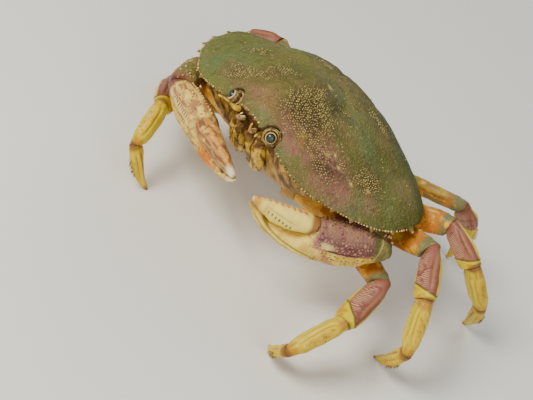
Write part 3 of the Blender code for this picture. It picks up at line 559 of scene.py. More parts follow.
def carpus_finish():
    """Mauve faces crossed by fine cream streaks, yellow below, behind and towards the next joint."""
    mix = Finish("carpus_mauve", (0.68, 0.52, 0.0), 0.4, 0.05)
    along, upward, behind = mix.fields("along", "upward", "behind")
    slant = along - upward * 0.2 + mix.noise(6, 3) * 0.05
    edge = behind.step(0.02, 0.2) * upward.step(0.3, 0.6)
    belly = (along * 0.35 - upward - 0.62).step(0.0, 0.25)
    face = (1 - edge) * (1 - slant.step(0.8, 0.83)) * (1 - belly)
    mix.lay(face.clear(), (0.28, 0.105, 0.075))
    turns = along * STREAKS + abs(upward) * 1.6 + mix.noise(4, 2) * 2.4
    streak = (turns * math.tau).sine().step(0.0, 0.75) * upward.band(0.05, 0.66) * along.band(0.5, 0.52)
    mix.lay((streak * face).clear() * 0.85, (0.66, 0.43, 0.25))
    mix.lay((mix.noise(4, 4).step(0.52, 0.66) * face).clear() * 0.75, (0.22, 0.05, 0.04))
    rear_line = behind.band(-0.12, 0.3) * upward.step(0.4, 0.8) * face
    mix.lay(rear_line.clear() * 0.7, (0.2, 0.06, 0.05))
    mix.lay((1 - along.step(0.03, 0.14)) * 0.5, (0.28, 0.06, 0.03))
    mix.lay((slant.step(0.84, 0.95) * mix.noise(4, 3).step(0.4, 0.6)).clear() * 0.8, (0.5, 0.2, 0.02))
    mix.lay(slant.band(0.82, 0.035) * 0.85, (0.1, 0.07, 0.02))
    add_seams(mix, along, 0.08)
    grain(mix, 1.1, 0.6)
    return mix.done(0.14)


def propodus_finish():
    """Golden yellow with lengthwise olive and pale streaks, browner at its edges and ends."""
    mix = Finish("propodus_gold", (0.67, 0.51, 0.01), 0.38, 0.04)
    along, upward = mix.fields("along", "upward")
    run = mix.lengthwise(0.0012, 0.0045, 0.004)
    mix.lay(mix.noise(1, 4, vector=run).step(0.46, 0.62) * 0.8, (0.36, 0.27, 0.0))
    mix.lay(mix.noise(0.7, 3, vector=run).step(0.55, 0.68) * 0.6, (0.84, 0.7, 0.04))
    mix.lay((1 - along.step(0.02, 0.26)) * mix.noise(5, 3).step(0.45, 0.6) * 0.8, (0.38, 0.14, 0.05))
    mix.lay(upward.step(0.55, 0.95) * 0.6, (0.5, 0.25, 0.015))
    mix.lay((0.0 - upward).step(0.6, 0.95) * 0.6, (0.5, 0.27, 0.02))
    mix.lay(along.step(0.84, 1.0) * 0.75, (0.46, 0.16, 0.01))
    mix.lay((1 - mix.cells(4.2).step(0.04, 0.12)) * 0.7, (0.12, 0.05, 0.01))
    add_seams(mix, along)
    grain(mix, 1.1, 0.45)
    return mix.done(0.12)


def dactyl_finish():
    """Golden toe with brown furrows and a darker tip."""
    mix = Finish("dactyl_gold", (0.66, 0.45, 0.01), 0.36, 0.04)
    along = mix.field("along")
    mottle(mix, (0.4, 0.2, 0.02), (0.8, 0.58, 0.12), 4)
    add_seams(mix, along)
    mix.lay((1 - along.step(0.02, 0.12)) * 0.8, (0.18, 0.07, 0.015))
    mix.lay(along.step(0.86, 0.99), (0.24, 0.09, 0.015))
    grain(mix, 0.9, 0.3)
    return mix.done()


def pitted(mix, size, low, high, mask, colour):
    """Small dark pits, sunk a little, where the mask is 1."""
    pit = ((1 - mix.cells(size).step(low, high)) * mask).clear()
    mix.lay(pit, colour)
    mix.raise_by(pit * -2.5)


def left_palm_finish():
    """Mauve net with cream dots above, yellow and pitted below, a pink rim and a green wrist."""
    mix = Finish("left_palm_mauve", (0.86, 0.66, 0.12), 0.4, 0.05)
    along, upward = mix.fields("along", "upward")
    mix.lay(mix.noise(7, 4).step(0.42, 0.62) * 0.6, (0.6, 0.34, 0.05))
    hand = 1 - along.step(0.45, 0.52)
    upper = hand * upward.step(-0.05, 0.2)
    mix.lay(upper.clear(), (0.5, 0.28, 0.17))
    mix.lay((upper * upward.step(0.35, 0.8)).clear() * 0.8, (0.27, 0.14, 0.075))
    web = 1 - mix.cells(1.9, "DISTANCE_TO_EDGE").step(0.08, 0.3)
    mix.lay((upper * mix.noise(7, 4).step(0.46, 0.6)).clear() * 0.6, (0.24, 0.09, 0.1))
    net = (web * upper * (1 - upward.step(0.45, 0.95))).clear()
    mix.lay(net * 0.9, (0.13, 0.04, 0.05))
    mix.lay((mix.field("mark") * 0.95).clear(), (0.78, 0.6, 0.26))
    line = upward.band(0.1, 0.07) * hand * along.step(0.12, 0.2) * (1 - along.step(0.36, 0.44))
    mix.lay(line.clear(), (0.1, 0.025, 0.045))
    pitted(mix, 2.6, 0.12, 0.24, hand * 0.9 + 0.25, (0.13, 0.05, 0.015))
    lower = along - upward * 0.2
    pink = lower.band(0.44, 0.06) * (1 - upward.step(0.15, 0.5)) * mix.noise(4, 4).step(0.3, 0.55)
    mix.lay(pink.clear() * 0.85, (0.48, 0.16, 0.13))
    mix.lay(mix.field("furrow").step(0.2, 0.8) * 0.8, (0.24, 0.17, 0.03))
    dots = hand * (1 - upward.step(0.0, 0.3))
    pitted(mix, 2.0, 0.2, 0.34, dots * 0.85, (0.3, 0.1, 0.05))
    cuff = along - upward * 0.07
    mix.lay(1 - cuff.step(0.02, 0.08), (0.11, 0.115, 0.03))
    mix.lay((1 - cuff.step(0.0, 0.07)) * mix.noise(5, 4).step(0.45, 0.6) * 0.7, (0.3, 0.24, 0.07))
    mix.lay(along.band(0.035, 0.008) * 0.8, (0.6, 0.46, 0.16))
    mix.lay(along.step(0.9, 0.99) * 0.8, (0.55, 0.24, 0.04))
    mix.raise_by((1 - web) * upper * 1.6)
    grain(mix, 1.3, 0.4)
    return mix.done(0.16)


def right_palm_finish():
    """Cream-yellow with lengthwise brown streaks and rows of pearls, orange-red towards the finger."""
    mix = Finish("right_palm_russet", (0.82, 0.6, 0.12), 0.4, 0.05)
    along, upward, across = mix.fields("along", "upward", "across")
    run = mix.lengthwise(0.006, 0.006, 0.004)
    mix.lay(mix.noise(1, 4, vector=run).step(0.5, 0.62) * 0.9, (0.24, 0.1, 0.06))
    mix.lay(mix.noise(6, 4).step(0.5, 0.62) * 0.7, (0.36, 0.14, 0.04))
    mix.lay((upward.step(0.3, 0.9) * mix.noise(6, 3).step(0.35, 0.6)).clear() * 0.7, (0.33, 0.16, 0.07))
    mix.lay((along.band(0.66, 0.16) * mix.noise(5, 3).step(0.3, 0.5)).clear(), (0.6, 0.19, 0.02))
    pitted(mix, 3.0, 0.12, 0.22, 0.9, (0.15, 0.06, 0.02))
    inner = (0.0 - across).step(0.66, 0.8) * mix.noise(5, 3).step(0.2, 0.45)
    mix.lay(inner.clear() * 0.85, (0.25, 0.115, 0.075))
    mix.lay(mix.field("row").step(0.15, 0.6) * 0.7, (0.3, 0.11, 0.05))
    mix.lay(mix.field("pearls").step(0.25, 0.6), (0.88, 0.64, 0.26))
    mix.lay(1 - along.step(0.03, 0.09), (0.2, 0.05, 0.03))
    mix.lay(along.step(0.86, 0.95), (0.82, 0.66, 0.36))
    grain(mix, 1.3, 0.5)
    return mix.done(0.14)


def left_finger_finish():
    """Pale yellow with orange knobs, a pink line and a row of short dark dashes."""
    mix = Finish("left_finger_cream", (0.92, 0.74, 0.16), 0.38, 0.06)
    along = mix.field("along")
    mix.lay(mix.noise(6, 4).step(0.48, 0.66) * 0.5, (0.78, 0.5, 0.09))
    mix.lay(mix.field("line"), (0.5, 0.17, 0.1))
    mix.lay(mix.field("dash").step(0.1, 0.5), (0.1, 0.03, 0.02))
    pitted(mix, 2.4, 0.06, 0.14, 0.8, (0.3, 0.14, 0.05))
    mix.lay(mix.field("knob").step(0.0, 0.4) * 0.7, (0.8, 0.5, 0.16))
    mix.lay(mix.field("knob").step(0.45, 0.95), (0.62, 0.22, 0.03))
    mix.lay(1 - along.step(0.02, 0.1), (0.3, 0.14, 0.04))
    mix.lay(along.step(0.8, 0.9) * 0.85, (0.58, 0.26, 0.03))
    mix.lay(along.step(0.96, 1.0), (0.85, 0.72, 0.4))
    grain(mix, 1.0, 0.4)
    return mix.done(0.12)


def right_finger_finish():
    """Orange-brown with dark streaks, orange knobs and a cream tip."""
    mix = Finish("right_finger_russet", (0.5, 0.25, 0.06), 0.38, 0.06)
    along = mix.field("along")
    run = mix.lengthwise(0.004, 0.006, 0.003)
    mix.lay(mix.noise(1, 4, vector=run).step(0.46, 0.56) * 0.9, (0.2, 0.075, 0.045))
    mix.lay(mix.noise(3, 4).step(0.55, 0.68) * 0.7, (0.8, 0.56, 0.12))
    mix.lay(mix.field("knob").step(0.1, 0.7) * 0.8, (0.74, 0.34, 0.05))
    mix.lay(along.step(0.8, 0.95), (0.84, 0.7, 0.42))
    grain(mix, 1.0, 0.4)
    return mix.done(0.12)


def wrist_finish():
    """Olive green with mauve-brown mottling, red-brown at the wrist."""
    mix = Finish("wrist_olive", (0.15, 0.14, 0.04), 0.45, 0.06)
    along = mix.field("along")
    mix.lay(mix.noise(7, 4, 0.6).step(0.42, 0.6) * 0.8, (0.26, 0.15, 0.06))
    mix.lay(mix.noise(3.2, 4).step(0.55, 0.68) * 0.7, (0.42, 0.36, 0.14))
    mix.lay((along.step(0.78, 0.96) * mix.noise(6, 3).step(0.3, 0.55)).clear(), (0.22, 0.08, 0.04))
    mix.lay(along.step(0.93, 1.02), (0.08, 0.025, 0.015))
    grain(mix, 1.4, 1.0)
    return mix.done(0.18)


def plain_finish(name, colour, spot, size):
    """One colour with spots of another."""
    mix = Finish(name, colour, 0.4, 0.05)
    mix.lay(mix.noise(size, 4).step(0.45, 0.6) * 0.85, spot)
    grain(mix, 0.8, 0.2)
    return mix.done()


# The carapace


def rim_points():
    """The shell's edge once round, without its teeth."""
    points = []
    for angle in np.linspace(-math.pi / 2, math.pi / 2, FRONT_POINTS):
        side, ahead = math.sin(angle), math.cos(angle)
        x = HALF_WIDTH * math.copysign(abs(side) ** (2 / FRONT_POWER), side)
        brow = furrow(x, 0, BROW_WIDTH)
        cheek = furrow(abs(x), CHEEK_PLACE, CHEEK_WIDTH) * CHEEK_REACH
        y = TIP_Y - FRONT_REACH * abs(ahead) ** (2 / FRONT_POWER) - BROW_REACH * brow - cheek
        z = TIP_Z + FRONT_RISE * (1 - (x / HALF_WIDTH) ** 2) + BROW_RISE * brow
        points.append((x * (1 + cheek / CHEEK_PLACE), y, z))
    for angle in np.linspace(0, math.pi, REAR_POINTS)[1:-1]:
        side, behind = math.cos(angle), math.sin(angle)
        flat = REAR_HALF_WIDTH * math.copysign(min(1.0, abs(side) * 6), side)
        x = flat + (HALF_WIDTH - REAR_HALF_WIDTH) * math.copysign(abs(side) ** 1.1, side)
        points.append((x, TIP_Y + REAR_REACH * behind, TIP_Z - REAR_DROP * behind))
    return np.array(points) + PLACE


RIM = rim_points()


def polar(x, y):
    """Angle and distance round the middle of the shell."""
    dx, dy = x - DOME_CENTRE[0], y - DOME_CENTRE[1]
    return np.arctan2(dy, dx), np.hypot(dx, dy)


def shell_share(x, y):
    """How far out a place lies, 0 in the middle and 1 on the edge, and the edge's height and distance."""
    angle, reach = polar(x, y)
    edge_angle, edge_reach = polar(RIM[:, 0], RIM[:, 1])
    distance = np.interp(angle, edge_angle, edge_reach, period=math.tau)
    height = np.interp(angle, edge_angle, RIM[:, 2], period=math.tau)
    return reach / distance, height, distance


def near_line(x, y, line, width):
    """1 on a line of points, falling off over a width; the line runs on both sides of the shell."""
    x = np.abs(x - PLACE[0])
    best = np.full(len(x), 1e9)
    line = np.array(line, float)
    line[:, 1] += PLACE[1]
    for (ax, ay), (bx, by) in zip(line, line[1:]):
        px, py = bx - ax, by - ay
        share = np.clip(((x - ax) * px + (y - ay) * py) / (px * px + py * py), 0, 1)
        best = np.minimum(best, np.hypot(x - ax - px * share, y - ay - py * share))
    return np.exp(-((best / width) ** 2))


# Grooves round the stomach, the heart and the gills, drawn on the left half of the shell and
# mirrored: their lines, widths and depths.
GROOVES = ((((34, -46), (27, -34), (22, -20), (20, -8), (13, 0), (6, 3)), 2.6, 1.0),
           (((9, 4), (8, 14), (11, 24), (18, 31)), 1.8, 0.9),
           (((20, -8), (30, -2), (44, 2), (58, 0)), 2.4, 0.6))

# Swellings and hollows, mirrored too: side, place, half-width, half-depth and height.
SWELLINGS = ((0, -24, 20, 17, 1.6), (60, 6, 19, 30, -6.0), (0, 30, 36, 9, 5.0), (0, 14, 12, 10, 1.0),
             (21, -2, 5, 16, -1.5))


def dome_height(x, y):
    """Height of the smooth shell top with its swellings and grooves."""
    share, edge, _ = shell_share(x, y)
    inside = np.clip(share, 0, 1)
    z = DOME_CENTRE[2] + (edge - DOME_CENTRE[2]) * inside
    z = z + DOME_HEIGHT * (1 - inside**DOME_POWER) ** DOME_ROUNDING
    bx, by = np.abs(x - PLACE[0]), y - PLACE[1]
    swell = sum(height * furrow(bx, side, half_width) * furrow(by, place, half_depth)
                for side, place, half_width, half_depth, height in SWELLINGS)
    grooves = sum(depth * near_line(x, y, line, width) for line, width, depth in GROOVES)
    return z + swell * (1 - inside**6) - grooves * ramp(1 - inside, 0.05, 0.2)


def blobs(x, y, spots):
    """Soft oval patches (x, y, half-width, half-depth, strength)."""
    total = sum(strength * furrow(x, cx, rx) * furrow(y, cy, ry) for cx, cy, rx, ry, strength in spots)
    return np.clip(total, 0, 1)


# Patches of colour and of granules on the shell, in the model's own x and y, as blobs takes them.
MAUVE = ((12, -62, 11, 6, 0.9), (21, -60, 9, 7, 0.8), (37, -58, 13, 8, 1.0), (48, -50, 10, 7, 0.8),
         (-15, -66, 10, 5, 0.6), (61, -37, 6, 5, 0.5), (31, -48, 11, 8, 0.5), (-38, -60, 12, 8, 0.35))
TEAL = ((60, -45, 9, 6, 0.6), (67, -28, 8, 12, 0.4), (53, -54, 8, 5, 0.5), (-52, -56, 16, 12, 0.8),
        (5, -22, 24, 8, 0.5), (34, -23, 12, 7, 0.5), (18, -70, 7, 3, 0.6), (-2, -71, 8, 3, 0.6))
OCHRE = ((19, -59, 3.5, 3, 1.0), (20, -49, 6, 5, 0.7), (9, -58, 5, 4, 0.5), (-6, -66, 6, 4, 0.4))
SPOTS = ((34, -47, 1.2, 0.8, 1.0), (40, -48, 1.0, 0.8, 1.0), (49, -44, 1.0, 1.0, 0.9),
         (55, -35, 0.9, 0.9, 1.0), (32, -51, 0.8, 1.4, 0.9), (-30, -40, 1.0, 0.8, 0.8),
         (-2, -26, 1.5, 1.0, 0.7))
GRAINS = ((4, -52, 9, 14, 0.9), (16, -50, 11, 10, 1.0), (8, -30, 14, 9, 0.7), (35, -56, 9, 6, 1.0),
          (42, -48, 7, 6, 0.6), (51, -31, 8, 9, 0.9), (-38, -60, 9, 7, 0.7), (-22, -48, 9, 12, 0.7),
          (-50, -34, 9, 10, 0.5), (20, 0, 14, 8, 0.5), (-28, 0, 14, 8, 0.5))


def eye_middle(sign):
    """The middle of the left (1) or right (-1) eye."""
    return np.array([sign * EYE_SIDE, EYE_AHEAD, EYE_HEIGHT]) + PLACE


def near_eye(points):
    """Millimetres to the nearer eye."""
    gaps = [np.linalg.norm(points - eye_middle(sign), axis=1) for _, sign in SIDES]
    return np.minimum(*gaps)


def make_carapace():
    """The domed shell: an even skin over the solid, laid on the smooth dome."""
    piece = node_copy("carapace", quads=False)
    remesh(piece, 0.8, 3)
    points = points_of(piece)
    x, y, z = points.T
    share, edge, distance = shell_share(x, y)
    top = normals_of(piece)[:, 2] > 0.1
    wanted = dome_height(x, y)
    weight = np.where(top, 1 - ramp(share, 0.955, 0.995), 0) * (np.abs(z - wanted) < 3.5)
    z = z + (wanted - z) * weight
    z += (wave(points, 22, 3) * 0.3 + wave(points, 7, 4) * 0.13 + wave(points, 3, 5) * 0.05) * weight
    move_points(piece, np.column_stack([x, y, z]))
    apply_modifier(piece, "SMOOTH", iterations=2, factor=0.4)
    past_edge = (share - 1) * distance + 1
    by = y - PLACE[1]
    rear = ramp(by, 8, 34) + ramp(share, 0.8, 0.97) * ramp(by, -12, 10) * 0.7
    store(piece, rim=past_edge.clip(-1, 6) / 2.5, green=np.clip(rear, 0, 1) * 0.9,
          side=ramp(PLACE[0] - x, 0, 40) * 0.8, under=ramp(edge - 1.0 - z, 0.2, 1.4) * (share > 0.5),
          teal=blobs(x, y, TEAL), mauve=blobs(x, y, MAUVE), ochre=blobs(x, y, OCHRE),
          spots=blobs(x, y, SPOTS), grains=blobs(x, y, GRAINS) * ramp(1 - share, 0.03, 0.12),
          orbit=near_eye(points))
    finish(piece, carapace_finish(), ["carapace"])


def make_granules():
    """Fine raised granules, close together on the swellings and sparse between them."""
    rng = np.random.default_rng(11)
    spacing, row_spacing = 1.4, 1.22
    grid = []
    for row, y in enumerate(np.arange(-78, 46, row_spacing)):
        for x in np.arange(-94, 92, spacing):
            shift = row % 2 * spacing / 2
            grid.append((x + shift + rng.uniform(-0.34, 0.34), y + rng.uniform(-0.3, 0.3)))
    x, y = np.array(grid).T
    share, _, _ = shell_share(x, y)
    zone = blobs(x, y, GRAINS) + wave(np.column_stack([x, y, x * 0]), 9, 12) * 0.12
    density = ramp(zone, 0.22, 0.62) * 0.95 + 0.012
    keep = (share < 0.965) & (rng.random(len(x)) < density)
    x, y = x[keep], y[keep]
    z = dome_height(x, y)
    step, sunk = 0.6, 0.06
    slope_x = (dome_height(x + step, y) - z) / step
    slope_y = (dome_height(x, y + step) - z) / step
    outs = np.column_stack([-slope_x, -slope_y, np.ones(len(z))])
    sizes = rng.uniform(0.32, 0.52, len(z))
    piece = scatter("shell_granules", np.column_stack([x, y, z - sunk]), outs, sizes, 0.9)
    gold = plain_finish("granule_gold", (0.44, 0.35, 0.12), (0.26, 0.17, 0.06), 3)
    finish(piece, gold)


def make_rim_beads():
    """A row of small pale beads along the toothed edge, with gaps for the eyes."""
    rng = np.random.default_rng(5)
    front = RIM[:FRONT_POINTS]
    reaches = np.concatenate([[0], np.cumsum(np.linalg.norm(np.diff(front, axis=0), axis=1))])
    places, outs, sizes = [], [], []
    for reach in np.arange(3, reaches[-1] - 3, 1.9):
        reach += rng.uniform(-0.4, 0.4)
        point, ahead = (np.array([np.interp(at, reaches, axis) for axis in front.T])
                        for at in (reach, reach + 1))
        out = unit(np.cross(ahead - point, UP))
        if out[1] > 0.4 or 9 < abs(point[0] - PLACE[0]) < 24:
            continue
        places.append(point - UP * 0.5 + out * 0.1)
        outs.append(out + UP * 0.3)
        sizes.append(rng.choice([0.36, 0.42, 0.52, 0.66]))
    piece = scatter("rim_beads", places, outs, sizes, 1.3)
    finish(piece, plain_finish("bead_cream", (0.7, 0.5, 0.2), (0.34, 0.17, 0.04), 3))


# Limbs


def leg_path(name):
    """The joints of one leg in place."""
    side = 1 if name.startswith("left") else -1
    return [np.array([side * x, y, z], float) + PLACE for x, y, z in LEG_JOINTS[name]]


def upward_side(joints, index):
    """The upper side of a segment, in the plane its leg bends in, or upright if it hardly bends."""
    ways = [unit(b - a) for a, b in zip(joints, joints[1:])]
    bend = np.zeros(3)
    for k in (index - 1, index):
        if 0 <= k < len(ways) - 1:
            bend += np.cross(ways[k], ways[k + 1])
    across = np.cross(ways[index], UP)
    if np.linalg.norm(bend) > SLIGHT_BEND:
        across = bend * math.copysign(1.0, np.dot(bend, across))
    top = np.cross(across, ways[index])
    top = unit(top - ways[index] * np.dot(top, ways[index]))
    return top if top[2] >= 0 or SEGMENTS[index] == "dactyl" else -top


def limb_fields(points, start, end, up):
    """Share along a segment, and millimetres up and across from its middle line."""
    way = unit(end - start)
    rel = points - start
    across = np.cross(way, up)
    return rel @ way / np.linalg.norm(end - start), rel @ up, rel @ across


# Lengthwise furrows and ridges of a segment: where they lie in its height from -1 to 1, their
# widths and strengths.
FURROWS = {
    "merus": ((0.6, 0.08, 1.0),),
    "carpus": ((0.68, 0.07, 1.0), (-0.66, 0.07, 1.0)),
    "propodus": ((0.7, 0.07, 1.0), (-0.7, 0.07, 1.0)),
    "dactyl": ((0.0, 0.16, 1.0), (0.62, 0.12, 0.8), (-0.6, 0.12, 0.8)),
}
RIDGES = {
    "merus": ((0.9, 0.12, 0.6),),
    "carpus": ((0.86, 0.1, 1.0), (-0.45, 0.1, 1.0)),
    "propodus": ((0.5, 0.1, 1.0), (-0.5, 0.1, 1.0), (0.9, 0.08, 1.0)),
    "dactyl": ((0.32, 0.12, 1.0), (-0.32, 0.12, 1.0)),
}


def lines_at(h, lines):
    """All lines of a table together, at a height in the segment."""
    return sum(strength * furrow(h, middle, width) for middle, width, strength in lines)


def leg_relief(points, name, segment, along, h, face):
    """Furrows, ridges and unevenness of a leg segment: its lift, and where they lie."""
    cut = np.clip(lines_at(h, FURROWS[segment]) * face, 0, 1)
    ridge = np.clip(lines_at(h, RIDGES[segment]), 0, 1)
    fade = ramp(along, 0.06, 0.2) * (1 - ramp(along, 0.78, 0.95))
    lift = (0.4 * ridge - 0.55 * cut) * fade
    if segment in ("merus", "carpus"):
        lift += 0.4 * furrow(along, 0.92, 0.03)
    middle = ramp(along, 0.04, 0.16) * (1 - ramp(along, 0.84, 0.97))
    lift += wave(points, 9, seed_of(name + segment)) * 0.16 + wave(points, 2.2, 8) * 0.05 * middle
    return lift, {"furrow": cut * fade, "ridge": ridge * fade}


def edge_bristles(points, normals, way, along, h):
    """Roots, ways and lengths of the stiff hairs along both edges of a lower segment."""
    edge = np.flatnonzero((np.abs(h) > 0.9) & (along > 0.1) & (along < 0.9))
    picked = RNG.choice(edge, EDGE_BRISTLES, replace=False)
    outs = normals[picked] + way * 0.9 + RNG.normal(0, 0.15, (EDGE_BRISTLES, 3))
    return points[picked], outs, RNG.uniform(1.0, 2.1, EDGE_BRISTLES)


def make_leg(name, finishes):
    """The four segments of one leg, rounded from their solids, and the bristles they carry."""
    joints = leg_path(name)
    bristles = []
    for index, segment in enumerate(SEGMENTS):
        piece = node_copy(f"{name}_{segment}")
        hold_edges(piece, SHARP, 0.7)
        subdivide(piece, 3)
        points, normals = points_of(piece), normals_of(piece)
        up = upward_side(joints, index)
        along, high, wide = limb_fields(points, joints[index], joints[index + 1], up)
        h, w = high / np.abs(high).max(), wide / np.abs(wide).max()
        lift, fields = leg_relief(points, name, segment, along, h, np.abs(w))
        points = points + normals * lift[:, None]
        points[:, 2] = np.maximum(points[:, 2], 0)
        move_points(piece, points)
        hindmost = float(name.endswith("4"))
        store(piece, along=along, upward=h, across=w, hind=np.full(len(points), hindmost),
              behind=w if name.startswith("right") else -w, **fields)
        if segment in ("propodus", "dactyl"):
            way = unit(joints[index + 1] - joints[index])
            bristles.append(edge_bristles(points, normals, way, along, h))
        finish(piece, finishes[segment], [f"{name}_{segment}"])
    return bristles


def seed_of(name):
    """A small number that is the same for the same name each run."""
    return sum(ord(c) * (i + 3) for i, c in enumerate(name)) % 9973


def claw_path(name):
    """The joints of one claw in place."""
    return [np.array(joint, float) + PLACE for joint in CLAW_JOINTS[name]]


def hand_frame(name):
    """The hand's wrist, length, and its ways along, up its back and out of its face."""
    _, _, wrist, tip = claw_path(name)
    along = unit(tip - wrist)
    level = unit(np.cross(UP, along))
    level *= math.copysign(1.0, -level[1])
    upright = np.cross(level, along)
    upright *= math.copysign(1.0, upright[2])
    lean = HAND_LEAN[name]
    back = upright * math.cos(lean) - level * math.sin(lean)
    outer = level * math.cos(lean) + upright * math.sin(lean)
    return wrist, np.linalg.norm(tip - wrist), along, back, outer


def hand_fields(name, points):
    """Share along the hand, share of its height above its bowed middle, and out of its face."""
    wrist, length, along, back, outer = hand_frame(name)
    rel = points - wrist
    share = rel @ along / length
    sag = HAND_SAG[name] * np.sin(math.pi * np.clip(share, 0, 1)) ** 0.8
    return share, rel @ back / HAND_HEIGHT + sag, rel @ outer / (HAND_THICKNESS / 2)


def make_arm(name, finishes):
    """The arm and the wrist block of one claw."""
    joints = claw_path(name)
    for index, (segment, slot) in enumerate((("merus", "upper_limbs"), ("carpus", "middle_limbs"))):
        piece = node_copy(f"{name}_{segment}")
        hold_edges(piece, SHARP, 0.7)
        subdivide(piece, 3)
        points = points_of(piece)
        along, high, _ = limb_fields(points, joints[index], joints[index + 1], UP)
        raise_surface(piece, wave(points, 8, 21 + index) * 0.3 + wave(points, 3, 22) * 0.1)
        store(piece, along=along, upward=high / (ARM_HEIGHT / 2), ridge=furrow(along, 0.93, 0.03))
        finish(piece, finishes[segment], [f"{name}_{segment}"])


def make_palm(name, material):
    """The palm with its fixed finger."""
    piece = node_copy(f"{name}_palm", quads=False)
    remesh(piece, 0.5, 10)
    points = points_of(piece)
    share, high, out = hand_fields(name, points)
    lift, fields = palm_relief(share, high, np.clip(np.abs(out), 0, 1))
    raise_surface(piece, lift + wave(points, 6, 31) * 0.15)
    store(piece, along=share, upward=high * 2, across=out, **fields)
    finish(piece, material, [f"{name}_palm"])


def make_finger(name, material):
    """The moving finger."""
    piece = node_copy(f"{name}_finger", quads=False)
    remesh(piece, 0.5, 5)
    points = points_of(piece)
    share, high, out = hand_fields(name, points)
    lift, fields = finger_relief(share, high, np.clip(np.abs(out), 0, 1))
    raise_surface(piece, lift + wave(points, 6, 31) * 0.15)
    store(piece, along=(share - FINGER_ROOT) / FINGER_REACH, upward=high * 2, across=out, **fields)
    finish(piece, material, [f"{name}_finger"])


# Lines on the hand, as shares along it and shares of its height: the lower edge of the palm
# and its finger, the row of pits on the moving finger, and the moving finger's back.
PALM_EDGE = (0.05, 0.24, 0.47, 0.68, 0.8, 0.91, 1), (-0.32, -0.5, -0.485, -0.43, -0.35, -0.2, 0)
PIT_ROW = (0.64, 0.86), (0.1, 0.17)
FINGER_BACK = (0.6, 0.7, 0.8, 0.9, 0.975), (0.44, 0.42, 0.36, 0.28, 0.18)


def palm_relief(share, high, face):
    """Lift and markings of the palm: beaded ridges, and a ridge between furrows under its finger."""
    palm = ramp(share, 0.08, 0.2) * (1 - ramp(share, 0.42, 0.5))
    rows = sum(furrow(high, middle, 0.03) for middle in (-0.3, -0.12, 0.06, 0.22, 0.36))
    beads = np.sin(share * BEAD_BEAT)
    lift = 0.55 * rows * (0.6 + 0.4 * beads) * face * palm
    under = ramp(share, 0.3, 0.5) * (1 - ramp(share, 0.88, 0.97))
    above = high - np.interp(share, *PALM_EDGE)
    seam = (furrow(above, 0.1, 0.02) + furrow(above, 0.2, 0.02)) * under
    lift += 0.45 * furrow(above, 0.15, 0.035) * under - 0.55 * seam
    row = (furrow(high, 0.36, 0.035) + furrow(high, 0.22, 0.03)) * face * palm
    mark = np.exp(-(((share - 0.39) / 0.052) ** 4) - ((high - 0.12) / 0.085) ** 4)
    lift += 0.25 * mark * face - 0.8 * furrow(share, 0.44, 0.012) * furrow(high, 0.43, 0.03)
    return lift, {"furrow": seam, "mark": mark, "row": row, "pearls": row * ramp(beads, -0.2, 0.6)}


def finger_relief(share, high, face):
    """Lift and markings of the moving finger: a furrow, a row of short pits, knobs along its back."""
    cut = furrow(high, 0.24, 0.02) * ramp(share, 0.6, 0.68) * (1 - ramp(share, 0.86, 0.92)) * face
    middle = np.interp(share, *PIT_ROW)
    row = furrow(high, middle, 0.05) * ramp(share, 0.63, 0.66) * (1 - ramp(share, 0.86, 0.88))
    dash = row * ramp(np.sin(share * PIT_BEAT), 0.1, 0.7) * face
    knob = ramp(high - np.interp(share, *FINGER_BACK), -0.02, 0.03)
    return -0.5 * cut - 0.35 * dash, {"line": cut, "dash": dash, "knob": knob}


def make_hand_beads(name, size, material):
    """Rows of small beads along the back of the palm."""
    palm = bpy.data.objects[f"{name}_palm_shell"]
    points, normals = points_of(palm), normals_of(palm)
    share, high, out = hand_fields(name, points)
    _, length, along, _, _ = hand_frame(name)
    places, outs, sizes = [], [], []
    for row in BEAD_ROWS[name]:
        for reach in np.arange(0.12, 0.47, 0.028):
            miss = np.hypot((share - reach) * length, (out - row) * HAND_THICKNESS / 2)
            nearest = np.argmin(np.where(high < 0.1, np.inf, miss))
            places.append(points[nearest])
            outs.append(normals[nearest] + along * 0.3)
            sizes.append(RNG.uniform(0.5, 0.8))
    piece = scatter(f"{name}_beads", places, outs, np.array(sizes) * size, 1.2)
    finish(piece, material)


def make_wrist_spines(name, material):
    """Small pointed knobs over the upper, outer side of the wrist block."""
    block = bpy.data.objects[f"{name}_carpus_shell"]
    points, normals = points_of(block), normals_of(block)
    facing = np.flatnonzero(normals[:, 2] + 0.3 * np.sign(points[:, 0]) * normals[:, 0] > 0.55)
    picked = RNG.choice(facing, WRIST_SPINES, replace=False)
    sizes = RNG.uniform(0.5, 0.85, WRIST_SPINES)
    piece = scatter(f"{name}_spines", points[picked], normals[picked], sizes, 1.7)
    finish(piece, material)


# Body, face and small parts


def make_underbody():
    """The underside, with furrows between the plates of the breast."""
    piece = node_copy("underbody", quads=False)
    remesh(piece, 0.9, 12)
    points = points_of(piece)
    bx, by, z = (points - PLACE).T
    bx = np.abs(bx)
    low = (normals_of(piece)[:, 2] < -0.5) * (1 - ramp(z, 50, 60))
    seams = sum(furrow(by + bx * 0.12, middle, 0.9) for middle in (-16, -4, 8, 20, 32))
    seams = seams * ramp(bx, 8, 14) * low
    raise_surface(piece, wave(points, 12, 41) * 0.3 + wave(points, 3.5, 42) * 0.12 - 0.9 * seams)
    # front marks the front of the breast, where the underside finish paints shade.
    store(piece, height=ramp(z, 40, 84), furrow=seams, front=ramp(-by, 8, 30),
          brow=ramp(z, 74, 78) * (1 - ramp(bx, 18, 26)), hip=ramp(bx, 15, 22) * (1 - ramp(z, 52, 60)))
    finish(piece, underside_finish(), ["underbody"])


